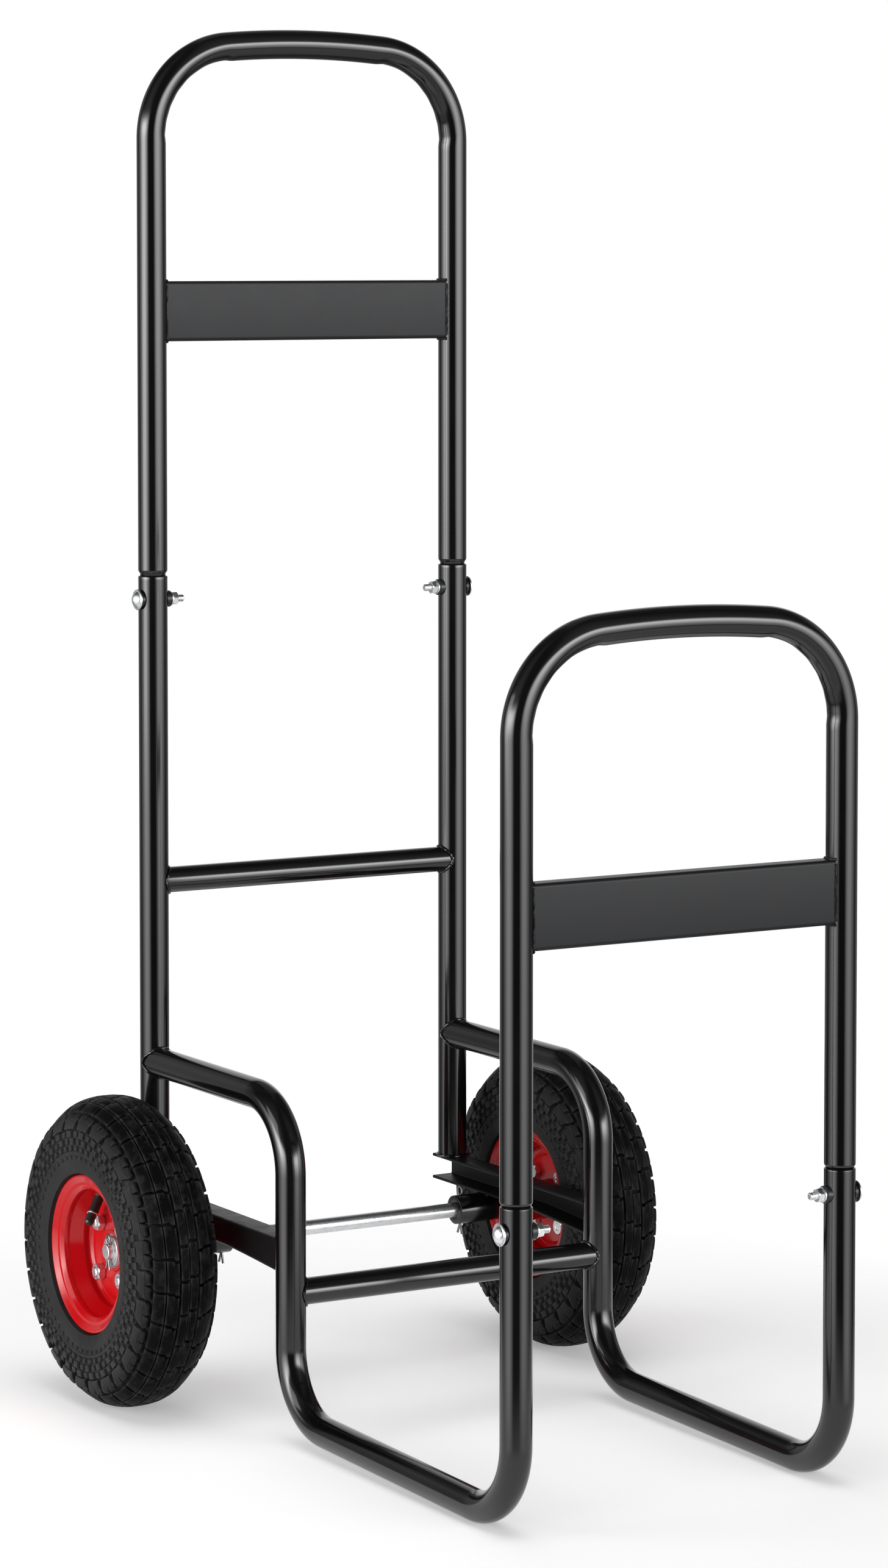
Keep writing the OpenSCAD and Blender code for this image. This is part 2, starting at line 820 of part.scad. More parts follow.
module rim_bolts() {
    head_h = 5.3;
    tail = 1.5;
    color(zinc) at_rim_bolts() {
        translate([0, 0, -rim_disc_out - seat_gap - head_h])
            cylinder(h = head_h, r = rim_nut_af / 2 / cos(30), $fn = 6);
        translate([0, 0, -rim_disc_out - seat_gap])
            cylinder(h = (rim_disc_out + seat_gap) * 2 + rim_nut_h + tail, r = rim_bolt_d / 2);
    }
}

module rim_nuts() {
    color(zinc) at_rim_bolts()
        translate([0, 0, rim_disc_out + seat_gap])
            hex_nut(rim_nut_af, rim_nut_h, rim_bolt_d / 2 + run_gap);
}

// Rubber stem whose foot ends on the inner tube, with a thinner neck for its cap
module valve_stem() {
    color(rubber)
    difference() {
        at_valve() {
            translate([0, 0, -valve_foot])
                cylinder(h = valve_len + valve_foot, r = valve_d / 2);
            translate([0, 0, valve_len]) cylinder(h = cap_len - 2, r = valve_d / 4);
        }
        rotate_extrude() section_oval(cavity_w, cavity_h - bead_gap + seat_gap);
    }
}

module valve_cap() {
    color(rubber) at_valve()
        translate([0, 0, valve_len + seat_gap * 5])
        difference() {
            cylinder(h = cap_len, r = valve_d / 2 - 0.3);
            translate([0, 0, -1]) cylinder(h = cap_len - 0.5, r = valve_d / 4 + seat_gap);
        }
}

on_side(-1) side_frame();  // left_side_frame
on_side(1) side_frame();  // right_side_frame
on_side(-1) rear_upright();  // left_rear_upright
on_side(1) rear_upright();  // right_rear_upright
on_side(-1) axle_bracket();  // left_axle_bracket
on_side(1) axle_bracket();  // right_axle_bracket
on_side(-1) axle_sleeve();  // left_axle_sleeve
on_side(1) axle_sleeve();  // right_axle_sleeve
lower_cross_tube();
back_cross_tube();
push_handle();
handle_plate();
front_hoop();
front_plate();
joint_bolts();
joint_saddles();
joint_washers();
joint_nuts();
axle();
axle_washers();
axle_cotter_pins();
bearing_inner_rings(-1);  // left_bearing_inner_rings
bearing_inner_rings(1);  // right_bearing_inner_rings
at_wheel(-1) tyre();  // left_tyre
at_wheel(-1) inner_tube();  // left_inner_tube
at_wheel(-1) outer_rim_half();  // left_outer_rim_half
at_wheel(-1) inner_rim_half();  // left_inner_rim_half
at_wheel(-1) hub();  // left_hub
at_wheel(-1) bearing_outer_rings();  // left_bearing_outer_rings
at_wheel(-1) bearing_balls();  // left_bearing_balls
at_wheel(-1) rim_bolts();  // left_rim_bolts
at_wheel(-1) rim_nuts();  // left_rim_nuts
at_wheel(-1) valve_stem();  // left_valve_stem
at_wheel(-1) valve_cap();  // left_valve_cap
at_wheel(1) tyre();  // right_tyre
at_wheel(1) inner_tube();  // right_inner_tube
at_wheel(1) outer_rim_half();  // right_outer_rim_half
at_wheel(1) inner_rim_half();  // right_inner_rim_half
at_wheel(1) hub();  // right_hub
at_wheel(1) bearing_outer_rings();  // right_bearing_outer_rings
at_wheel(1) bearing_balls();  // right_bearing_balls
at_wheel(1) rim_bolts();  // right_rim_bolts
at_wheel(1) rim_nuts();  // right_rim_nuts
at_wheel(1) valve_stem();  // right_valve_stem
at_wheel(1) valve_cap();  // right_valve_cap
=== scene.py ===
import json
import random
from math import asin, copysign, cos, hypot, pi, radians, sin, sqrt, tan

import bpy
import numpy as np
from mathutils import Matrix, Vector, noise


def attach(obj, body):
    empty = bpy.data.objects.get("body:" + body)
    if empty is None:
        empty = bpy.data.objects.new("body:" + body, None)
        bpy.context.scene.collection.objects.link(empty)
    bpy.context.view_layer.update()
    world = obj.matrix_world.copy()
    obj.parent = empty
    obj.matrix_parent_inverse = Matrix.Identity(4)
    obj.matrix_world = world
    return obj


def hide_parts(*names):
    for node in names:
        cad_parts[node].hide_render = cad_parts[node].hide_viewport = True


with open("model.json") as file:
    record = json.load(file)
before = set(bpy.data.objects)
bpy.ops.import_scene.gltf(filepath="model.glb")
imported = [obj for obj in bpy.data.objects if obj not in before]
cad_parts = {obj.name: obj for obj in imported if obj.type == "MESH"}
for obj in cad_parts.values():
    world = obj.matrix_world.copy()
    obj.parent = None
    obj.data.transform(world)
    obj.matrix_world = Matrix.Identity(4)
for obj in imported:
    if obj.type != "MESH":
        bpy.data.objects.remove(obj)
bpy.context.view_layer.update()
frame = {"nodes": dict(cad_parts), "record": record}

random.seed(7)

# ---------------- sizes
# The sizes of the cart are in millimetres, as in the CAD
MM = 0.001
UPRIGHT_X = 148.0
FRONT_Y, RISER_Y, REAR_Y = -322.75, 28.25, 269.25
TUBE_R, BORE_R, SPIGOT_R, CROSS_TUBE_R = 12.5, 11.0, 10.9, 11.0
FRONT_FOOT_Z, RISER_FOOT_Z, DECK_Z = 11.32, 18.32, 275.0
BEND_R, CORNER_R, CROWN_R = 59.0, 79.0, 850.0
HANDLE_TOP, HANDLE_JOINT, HANDLE_GAP = 1156.0, 691.0, 2.0
HOOP_TOP, HOOP_JOINT, HOOP_GAP = 699.0, 253.0, 0.5
LOWER_CROSS_Z, BACK_CROSS_Z = 120.0, 430.0
HANDLE_PLATE_Z, FRONT_PLATE_Z = 890.0, 445.0
PLATE_HEIGHT, PLATE_DEPTH, PLATE_SHEET, PLATE_FOLD = 51.0, 15.0, 2.0, 1.5
BRACKET_LOW, BRACKET_TOP, BRACKET_WIDTH, BRACKET_SHEET = 142.6, 164.9, 22.0, 2.5
BOLT_DROP = 20.0                  # from a tube's joint down to its bolt
BOLT_R, BOLT_HOLE_R, SADDLE_R = 3.0, 3.2, 7.0
WHEEL_X, AXLE_Y, AXLE_Z = 215.0, 205.25, 130.0
AXLE_R, AXLE_HOLE_R, SLEEVE_R, AXLE_WASHER_R = 6.35, 6.4, 12.5, 13.0
AXLE_WASHER, WASHER_PLAY = 2.0, 0.2
WASHER_ROOM = AXLE_WASHER + 2 * WASHER_PLAY
HUB_IN, HUB_OUT = 51.0, 6.0       # the hub's ends, from the middle of the tyre
SLEEVE_IN = UPRIGHT_X - 36
SLEEVE_OUT = WHEEL_X - HUB_IN - WASHER_ROOM
PIN_OUT = HUB_OUT + WASHER_ROOM + 1.6
AXLE_END = WHEEL_X + PIN_OUT + 3
PIN_WIRE_R = 1.0
TYRE_R, TYRE_HALF, SECTION_H = 130.0, 36.0, 42.0
SECTION_R = TYRE_R - SECTION_H    # radius at which the tyre is widest
BLOCKS = 28                       # tread blocks in one row round the tyre
PITCH = 2 * pi * TYRE_R / BLOCKS
GROOVE = 1.45                     # half the gap between two blocks of a row
RIM_BOLTS, RIM_BOLT_CIRCLE = 4, 30.0


# ---------------- shapes
def turned_over(faces):
    """The same faces seen from their other side."""
    return [tuple(reversed(f)) for f in faces]


class Shape:
    """Points and faces, in millimetres, of the solids that make up one piece."""

    def __init__(self):
        self.verts, self.faces = [], []

    def add(self, verts, faces, place=None):
        base = len(self.verts)
        for v in verts:
            self.verts.append(tuple(place @ Vector(v)) if place else tuple(v))
        self.faces += [tuple(i + base for i in f) for f in faces]
        return self

    def mirrored(self):
        """A copy for the other side of the cart."""
        out = Shape()
        out.verts = [(-x, y, z) for x, y, z in self.verts]
        out.faces = turned_over(self.faces)
        return out

    def with_mirrored(self):
        """Both sides of the cart as one piece."""
        other = self.mirrored()
        return self.add(other.verts, other.faces)


def add_piece(name, shape, material, replaces, body="frame", smooth=40):
    """Makes a visible piece; edges sharper than `smooth` degrees stay sharp."""
    mesh = bpy.data.meshes.new(name)
    mesh.from_pydata([tuple(float(c) * MM for c in v) for v in shape.verts], [], shape.faces)
    mesh.validate()
    mesh.polygons.foreach_set("use_smooth", [True] * len(mesh.polygons))
    mesh.update()
    obj = bpy.data.objects.new(name, mesh)
    bpy.context.scene.collection.objects.link(obj)
    mesh.materials.append(material)
    mesh.set_sharp_from_angle(angle=radians(smooth))
    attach(obj, body)
    if replaces:
        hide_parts(*replaces)


def add_pair(name, right, material, node_name, bodies=("frame", "frame"), smooth=40):
    """A right piece as it was drawn, and its mirror image on the left."""
    for letter, side, shape, body in (("_R", "right_", right, bodies[0]),
                                      ("_L", "left_", right.mirrored(), bodies[1])):
        replaces = [side + node_name] if node_name else []
        add_piece(name + letter, shape, material, replaces, body, smooth)


def grid_faces(rows, cols, close_rows=False, close_cols=False, flip=False):
    """Quads between the points of a grid that may be closed in either direction."""
    faces = []
    for i in range(rows if close_rows else rows - 1):
        for j in range(cols if close_cols else cols - 1):
            a, b = i * cols + j, i * cols + (j + 1) % cols
            c, d = ((i + 1) % rows) * cols + (j + 1) % cols, ((i + 1) % rows) * cols + j
            faces.append((a, d, c, b) if flip else (a, b, c, d))
    return faces


def end_caps(rows, cols):
    """The two end faces of a bar that is a row of closed rings."""
    return [tuple(reversed(range(cols))), tuple(range((rows - 1) * cols, rows * cols))]


def fillet(points, radius, steps=4):
    """Rounds the corners of a closed outline; radius is one number or one for each corner."""
    pts = [Vector((a, b, 0)) for a, b in points]
    out, n = [], len(pts)
    for i, p in enumerate(pts):
        r = radius[i] if isinstance(radius, list) else radius
        a, b = pts[i - 1], pts[(i + 1) % n]
        u, v = (a - p).normalized(), (b - p).normalized()
        angle = u.angle(v)
        if r <= 0 or angle > radians(176):
            out.append(p)
            continue
        cut = min(r / tan(angle / 2), (a - p).length * 0.45, (b - p).length * 0.45)
        p0, p1 = p + u * cut, p + v * cut
        for k in range(steps + 1):
            t = k / steps
            out.append(p0 * (1 - t) ** 2 + p * 2 * t * (1 - t) + p1 * t * t)
    return [(p.x, p.y) for p in out]


def circle(steps):
    """Angles of evenly spaced points round a circle."""
    return [2 * pi * k / steps for k in range(steps)]


def revolve(profile, steps, closed=True, shaped=None):
    """Turns (radius, along) points round +Z; shaped(r, z, angle) may change the radius."""
    verts = []
    for a in circle(steps):
        for r, z in profile:
            r = shaped(r, z, a) if shaped else r
            verts.append((r * cos(a), r * sin(a), z))
    return verts, grid_faces(steps, len(profile), True, closed)


def revolve_fillet(profile, radius, steps):
    """Solid of revolution with rounded edges; its outline runs with the solid on its left."""
    verts, faces = revolve(fillet(profile, radius), steps)
    return verts, turned_over(faces)


def rings_along(path):
    """Point, side and up at each point of a path, carried along without twist."""
    pts = [Vector(p) for p in path]
    tangents = []
    for i in range(len(pts)):
        a, b = pts[max(i - 1, 0)], pts[min(i + 1, len(pts) - 1)]
        tangents.append((b - a).normalized())
    up = Vector((1, 0, 0)) if abs(tangents[0].x) < 0.7 else Vector((0, 1, 0))
    side = tangents[0].cross(up).normalized()
    rings = []
    for p, t in zip(pts, tangents):
        side = (side - t * side.dot(t)).normalized()
        rings.append((p, side, t.cross(side).normalized()))
    return rings


def sweep(path, radius, steps, cap=True, wobble=None):
    """Round bar along a path; wobble(point, angle) is added to its radius."""
    rings = rings_along(path)
    verts = []
    for i, (p, side, up) in enumerate(rings):
        for a in circle(steps):
            r = radius + (wobble(i, a) if wobble else 0)
            verts.append(tuple(p + side * (r * cos(a)) + up * (r * sin(a))))
    faces = grid_faces(len(rings), steps, False, True)
    return verts, faces + (end_caps(len(rings), steps) if cap else [])


def arc_path(corners, radii, step=3.0, straight=26.0):
    """Points along straight lines and true arcs, with one radius for each inner corner."""
    pts = [Vector(c) for c in corners]
    path = [pts[0]]

    def line_to(q):
        p = path[-1]
        n = max(1, int((q - p).length / straight))
        for k in range(1, n + 1):
            path.append(p.lerp(q, k / n))

    for i in range(1, len(pts) - 1):
        u, v = (pts[i - 1] - pts[i]).normalized(), (pts[i + 1] - pts[i]).normalized()
        angle, r = u.angle(v), radii[i - 1]
        start = pts[i] + u * (r / tan(angle / 2))
        centre = pts[i] + (u + v).normalized() * (r / sin(angle / 2))
        line_to(start)
        spoke, arc = start - centre, pi - angle
        axis = spoke.cross(pts[i] - centre).normalized()
        n = max(6, int(r * arc / step))
        for k in range(1, n + 1):
            path.append(centre + Matrix.Rotation(arc * k / n, 3, axis) @ spoke)
    line_to(pts[-1])
    return path


def side_turn(x, y, z, way=1):
    """Puts a shape drawn round +Z on the X axis, with its +Z towards way * X."""
    return Matrix.Translation((x, y, z)) @ Matrix.Rotation(radians(90 * way), 4, "Y")


def bead(path, radius, seed, closed=False, steps=10):
    """Weld bead: a rippled, slightly uneven cord of metal."""
    def rough(i, a):
        p = Vector(path[i % len(path)])
        ripple = 0.16 * radius * sin(i * 1.9 + sin(a) * 0.8)
        uneven = noise.noise(Vector((p.x, p.y, p.z)) * 0.21 + Vector((seed, a, 0)))
        return ripple + 0.22 * radius * uneven
    return sweep(path, radius, steps, not closed, rough)


def weld_ring(centre, away, side, radius, bead_r, seed, steps=64):
    """Bead where a tube that leaves `centre` along `away` meets an upright frame tube."""
    centre, away, side, up = Vector(centre), Vector(away), Vector(side), Vector((0, 0, 1))
    thin, thick = radius + 0.4, TUBE_R + 0.5
    ring = []
    for k in range(steps + 1):
        t = 2 * pi * k / steps
        x, z = thin * cos(t), thin * sin(t)
        reach = sqrt(max(thick ** 2 - min(abs(x), thick - 0.2) ** 2, 0.04))
        ring.append(centre + away * reach + side * x + up * z)
    return bead(ring, bead_r, seed, closed=True)


# ---------------- materials
def new_material(name):
    m = bpy.data.materials.new(name)
    m.use_nodes = True
    return m, m.node_tree, m.node_tree.nodes["Principled BSDF"]


def wire(node, **inputs):
    """Sets a node's inputs or links them to outputs; an underscore in a key stands for a space."""
    for key, value in inputs.items():
        feed(value, node.inputs[key.replace("_", " ")])


def feed(value, socket):
    if isinstance(value, bpy.types.NodeSocket):
        socket.id_data.links.new(value, socket)
    else:
        socket.default_value = value


def new_node(tree, kind, **inputs):
    node = tree.nodes.new("ShaderNode" + kind)
    wire(node, **inputs)
    return node


def object_coords(tree, scale=(1, 1, 1)):
    coords = new_node(tree, "TexCoord").outputs["Object"]
    return new_node(tree, "Mapping", Vector=coords, Scale=scale).outputs["Vector"]


def noise_tex(tree, vector, scale, detail, rough, distortion=0.0):
    return new_node(tree, "TexNoise", Vector=vector, Scale=scale, Detail=detail, Roughness=rough,
                    Distortion=distortion).outputs["Fac"]


def ramp(tree, fac, stops):
    """Grey levels through (position, level) stops."""
    r = new_node(tree, "ValToRGB", Fac=fac)
    elements = r.color_ramp.elements
    while len(elements) < len(stops):
        elements.new(0.5)
    for element, (position, level) in zip(elements, stops):
        element.position = position
        element.color = (level, level, level, 1)
    return r.outputs["Color"]


def remap(tree, fac, lo, hi, out_lo, out_hi):
    """Carries lo..hi to out_lo..out_hi and clamps it there."""
    return new_node(tree, "MapRange", Value=fac, From_Min=lo, From_Max=hi, To_Min=out_lo,
                    To_Max=out_hi).outputs["Result"]


def mix_color(tree, fac, a, b):
    m = new_node(tree, "Mix")
    m.data_type = "RGBA"
    colours = [i for i in m.inputs if i.type == "RGBA"]
    for value, socket in ((fac, m.inputs[0]), (a, colours[0]), (b, colours[1])):
        feed((*value, 1) if isinstance(value, tuple) else value, socket)
    return [o for o in m.outputs if o.type == "RGBA"][0]


def math_node(tree, op, *values):
    m = new_node(tree, "Math")
    m.operation = op
    for value, socket in zip(values, m.inputs):
        feed(value, socket)
    return m.outputs["Value"]


def vector_node(tree, op, *values):
    n = new_node(tree, "VectorMath")
    n.operation = op
    for value, socket in zip(values, n.inputs):
        feed(value, socket)
    return n


def bump(tree, height, strength, distance, **normal):
    node = new_node(tree, "Bump", Height=height, Strength=strength, Distance=distance, **normal)
    return node.outputs["Normal"]


def edge_wear_and_highlight(tree, lo, hi):
    """1 on edges that stick out, 0 on flat faces."""
    return remap(tree, new_node(tree, "NewGeometry").outputs["Pointiness"], lo, hi, 0, 1)


def patchy(tree, texture, lo, hi, middle, share):
    """A value that drifts by a share to both sides of its middle."""
    return remap(tree, texture, lo, hi, middle * (1 - share), middle * (1 + share))


def paint(name, base, lighter, rough, peel, wear, spec, coat=0.0, drift_share=0.2):
    """Powder coat or enamel: slow colour drift, orange peel, rubbed spots and edges."""
    m, tree, bsdf = new_material(name)
    v = object_coords(tree)
    drift = noise_tex(tree, v, 9, 4, 0.6)
    speck = noise_tex(tree, v, 260, 3, 0.7)
    colour = mix_color(tree, remap(tree, drift, 0.35, 0.7, 0, 1), base, lighter)
    rub = noise_tex(tree, v, 38, 6, 0.75, 0.6)
    marks = math_node(tree, "MULTIPLY", remap(tree, rub, 0.68, 0.8, 0, 0.5),
                      remap(tree, speck, 0.45, 0.62, 0, 1))
    worn = mix_color(tree, marks, colour, wear)
    edges = math_node(tree, "MULTIPLY", edge_wear_and_highlight(tree, 0.53, 0.6), remap(tree, drift, 0.4, 0.65, 0, 0.5))
    wire(bsdf, Base_Color=mix_color(tree, edges, worn, wear), Specular_IOR_Level=spec,
         Roughness=patchy(tree, noise_tex(tree, v, 55, 5, 0.65), 0.3, 0.75, rough, drift_share),
         Normal=bump(tree, noise_tex(tree, v, 260, 2, 0.5), peel, 0.0003))
    if coat:
        wire(bsdf, Coat_Weight=coat, Coat_Roughness=0.08)
    return m


def plated(name, base, dark, rough, scratch=0.15):
    """Zinc plate or ground steel: metal with cloudy patches and fine scratches."""
    m, tree, bsdf = new_material(name)
    v = object_coords(tree)
    cloud = noise_tex(tree, v, 70, 4, 0.6, 0.3)
    lines = noise_tex(tree, object_coords(tree, (1, 1, 9)), 900, 2, 0.5)
    wire(bsdf, Base_Color=mix_color(tree, remap(tree, cloud, 0.35, 0.7, 0, 1), base, dark), Metallic=1.0,
         Roughness=patchy(tree, noise_tex(tree, v, 500, 4, 0.6), 0.3, 0.7, rough, 0.3),
         Normal=bump(tree, lines, scratch, 0.0002))
    return m


def rubber(name, base, lighter, rough, grain, dust_and_sheen=(0.03, 0.029, 0.028), spec=0.4, tread=None):
    """Rubber or matt plastic with dusty patches; `tread` is a darker colour painted on a tyre's tread as
    shade, and it also turns on painted highlights on the block edges.
    """
    m, tree, bsdf = new_material(name)
    v = object_coords(tree)
    drift = noise_tex(tree, v, 14, 5, 0.6)
    colour = mix_color(tree, remap(tree, drift, 0.35, 0.68, 0, 1), base, lighter)
    if tread:
        # the tread's colour is painted darker than the side wall, as shade, and its specular level is lower;
        # the block edges get a painted pale highlight
        from_axle = vector_node(tree, "MULTIPLY_ADD", v, (0, 1, 1), (0, -AXLE_Y * MM, -AXLE_Z * MM))
        radius = vector_node(tree, "LENGTH", from_axle.outputs["Vector"]).outputs["Value"]
        colour = mix_color(tree, remap(tree, radius, 0.106, 0.121, 0, 1), colour, tread)
        # painted highlight: the tyre's block edges are lightened towards a pale colour, as if light caught
        # them
        edge_highlight = tuple(1.5 * c for c in dust_and_sheen)
        edges = math_node(tree, "MULTIPLY", edge_wear_and_highlight(tree, 0.53, 0.61), 0.7)
        colour = mix_color(tree, edges, colour, edge_highlight)
        spec = remap(tree, radius, 0.106, 0.121, spec, spec * 0.45)
    dirt = math_node(tree, "MULTIPLY", remap(tree, noise_tex(tree, v, 70, 6, 0.7), 0.5, 0.75, 0, 0.45),
                     remap(tree, drift, 0.4, 0.6, 0.2, 1))
    coarse = bump(tree, noise_tex(tree, v, 130, 4, 0.6), grain * 0.8, 0.0016)
    wire(bsdf, Base_Color=mix_color(tree, dirt, colour, dust_and_sheen), Specular_IOR_Level=spec,
         Roughness=patchy(tree, noise_tex(tree, v, 90, 4, 0.6), 0.3, 0.7, rough, 0.15),
         Normal=bump(tree, noise_tex(tree, v, 650, 3, 0.6), grain, 0.0004, Normal=coarse))
    return m


BLACK = paint("black_paint", (0.002, 0.002, 0.0024), (0.0038, 0.0038, 0.0042), rough=0.14, peel=0.010,
              wear=(0.02, 0.02, 0.02), spec=0.60, drift_share=0.08)
SATIN = paint("bracket_paint", (0.004, 0.004, 0.0045), (0.006, 0.006, 0.0065), rough=0.42, peel=0.05,
              wear=(0.03, 0.03, 0.03), spec=0.14)
PLATE = paint("plate_paint", (0.0088, 0.0095, 0.0108), (0.0096, 0.0103, 0.0117), rough=0.38, peel=0.04,
              wear=(0.03, 0.03, 0.03), spec=0.19, drift_share=0.04)
RED = paint("rim_paint", (0.40, 0.002, 0.004), (0.46, 0.0035, 0.007), rough=0.22, peel=0.03,
            wear=(0.32, 0.015, 0.015), spec=0.2, coat=0.30, drift_share=0.12)
ZINC = plated("zinc", (0.82, 0.83, 0.84), (0.70, 0.71, 0.73), rough=0.33, scratch=0.05)
STEEL = plated("bearing_steel", (0.76, 0.77, 0.79), (0.66, 0.67, 0.69), rough=0.16, scratch=0.03)
WIRE = plated("pin_wire", (0.34, 0.34, 0.35), (0.18, 0.18, 0.18), rough=0.34)
# the tyre's tread is painted darker than its side wall as shade, and its block edges get a painted pale
# highlight 1.5 times the dust colour
TYRE = rubber("tyre_rubber", (0.015, 0.015, 0.0155), (0.026, 0.026, 0.0255), rough=0.47, grain=0.55,
              spec=0.07, dust_and_sheen=(0.0385, 0.0385, 0.0375), tread=(0.0025, 0.0025, 0.0027))
TUBE = rubber("tube_rubber", (0.008, 0.008, 0.008), (0.012, 0.012, 0.012), rough=0.36, grain=0.12)
CAP = rubber("cap_plastic", (0.010, 0.010, 0.0105), (0.015, 0.015, 0.015), rough=0.34, grain=0.12)

SLOT_MATERIAL = {
    "black_paint": BLACK, "plate_paint": PLATE, "rim_paint": RED, "zinc": ZINC,
    "bearing_steel": STEEL, "tyre_rubber": TYRE, "tube_rubber": TUBE, "cap_plastic": CAP,
}
SLOT_OF = {material: slot for slot, material in SLOT_MATERIAL.items()}
SLOT_OF.update({SATIN: "black_paint", WIRE: "zinc"})
for part in frame["record"]["subparts"]:
    cad = frame["nodes"][part["node"]]
    cad.data.materials.clear()
    cad.data.materials.append(SLOT_MATERIAL[part["material_slot"]])


# ---------------- bent tubes
TUBE_STEPS = 48


def tube_mouth(x, y, z, profile):
    """Rounded upper end of a tube, with its bore going back down."""
    verts, faces = revolve(profile, TUBE_STEPS, False)
    return verts, turned_over(faces), Matrix.Translation((x, y, z))


def side_frame_shape():
    """Front post, floor run, riser and raised run as one bent tube, welded to the rear upright."""
    x, soft = UPRIGHT_X, 0.7
    top = HOOP_JOINT - 2 * soft
    corners = [(x, FRONT_Y, top), (x, FRONT_Y, FRONT_FOOT_Z), (x, RISER_Y, RISER_FOOT_Z),
               (x, RISER_Y, DECK_Z), (x, REAR_Y, DECK_Z)]
    path = arc_path(corners, [BEND_R] * 3)

    def dents(i, a):
        return -0.05 * max(0.0, noise.noise(Vector((path[i].y, path[i].z, 3)) * 0.05))

    shape = Shape().add(*sweep(path, TUBE_R, TUBE_STEPS, False, dents))
    shape.add(*tube_mouth(x, FRONT_Y, top, [
        (TUBE_R, 0.0), (TUBE_R, soft), (TUBE_R - soft * 0.35, soft * 1.6), (TUBE_R - soft, soft * 2),
        (BORE_R + soft * 0.4, soft * 2), (BORE_R, soft * 1.5), (BORE_R, -14.0)]))
    return shape.add(*weld_ring((x, REAR_Y, DECK_Z), (0, -1, 0), (1, 0, 0), TUBE_R, 1.3, 3.0))


def rear_upright_shape():
    """Straight tube from the bracket up to the handle's joint, with the weld round its foot."""
    x, low, high = UPRIGHT_X, BRACKET_TOP, HANDLE_JOINT - 3.2
    shape = Shape().add(*sweep([(x, REAR_Y, low + (high - low) * k / 20) for k in range(21)],
                               TUBE_R, TUBE_STEPS, False))
    shape.add(*tube_mouth(x, REAR_Y, HANDLE_JOINT, [
        (TUBE_R, -3.2), (TUBE_R, -0.7), (TUBE_R - 0.15, -0.3), (TUBE_R - 0.5, 0),
        (BORE_R + 0.2, 0), (BORE_R, -0.4), (BORE_R, -20)]))
    foot = [(x + (TUBE_R + 0.5) * cos(t), REAR_Y + (TUBE_R + 0.5) * sin(t), low + 0.6)
            for t in np.linspace(0, 2 * pi, 60)]
    return shape.add(*bead(foot, 1.3, 5.0, closed=True))


def hoop_shape(y, top, joint, gap):
    """Bent tube with two legs and a crowned top; each leg ends in a spigot that goes into its post."""
    reach = UPRIGHT_X - CORNER_R - 4
    half = asin(reach / (CROWN_R - CORNER_R))
    apex = top - TUBE_R + CROWN_R * (1 / cos(half) - 1)
    corner_z = apex - UPRIGHT_X * tan(half)
    low = joint + gap + 3.0
    corners = [(-UPRIGHT_X, y, low), (-UPRIGHT_X, y, corner_z), (0, y, apex), (UPRIGHT_X, y, corner_z),
               (UPRIGHT_X, y, low)]
    path = arc_path(corners, [CORNER_R, CROWN_R, CORNER_R], straight=4.0)
    last = len(path) - 1
    turns = [1.0 if 0 < i < last and (path[i] - path[i - 1]).angle(path[i + 1] - path[i]) > 0.02 else 0.0
             for i in range(last + 1)]
    bent = [max(turns[i], 0.5 * max(turns[max(i - 1, 0)], turns[min(i + 1, last)])) for i in range(last + 1)]

    def flattened(i, a):
        """The bender has pressed the inside of each corner a little flat."""
        inside = max(0.0, -sin(a)) ** 2
        return -bent[i] * (0.95 * inside + 0.12 * inside * sin(path[i].z * 0.45))

    shape = Shape().add(*sweep(path, TUBE_R, TUBE_STEPS, False, flattened))
    spigot_end = -3.0 - gap - 16
    spigot = [(SPIGOT_R - 1.5, spigot_end), (SPIGOT_R, spigot_end), (SPIGOT_R, -3.0), (SPIGOT_R + 0.35, -2.4),
              (TUBE_R - 0.6, -1.6), (TUBE_R - 0.12, -0.7), (TUBE_R, 0.02)]
    for x in (-UPRIGHT_X, UPRIGHT_X):
        shape.add(*revolve(spigot, TUBE_STEPS, False), Matrix.Translation((x, y, low)))
    return shape


def cross_tube_shape(y, z):
    """Straight tube between the two side frames, with a weld at each end."""
    line = [(x, y, z) for x in np.linspace(-UPRIGHT_X, UPRIGHT_X, 24)]
    shape = Shape().add(*sweep(line, CROSS_TUBE_R, 40, False))
    for way in (-1, 1):
        shape.add(*weld_ring((-way * UPRIGHT_X, y, z), (way, 0, 0), (0, 1, 0), CROSS_TUBE_R, 1.25, 2.0 + way))
    return shape


def add_tubes():
    add_pair("tube_side_frame", side_frame_shape(), BLACK, "side_frame")
    add_pair("tube_upright", rear_upright_shape(), BLACK, "rear_upright")
    for name, shape in (("push_handle", hoop_shape(REAR_Y, HANDLE_TOP, HANDLE_JOINT, HANDLE_GAP)),
                        ("front_hoop", hoop_shape(FRONT_Y, HOOP_TOP, HOOP_JOINT, HOOP_GAP)),
                        ("lower_cross_tube", cross_tube_shape(RISER_Y, LOWER_CROSS_Z)),
                        ("back_cross_tube", cross_tube_shape(REAR_Y, BACK_CROSS_Z))):
        add_piece("tube_" + name, shape, BLACK, [name])


add_tubes()


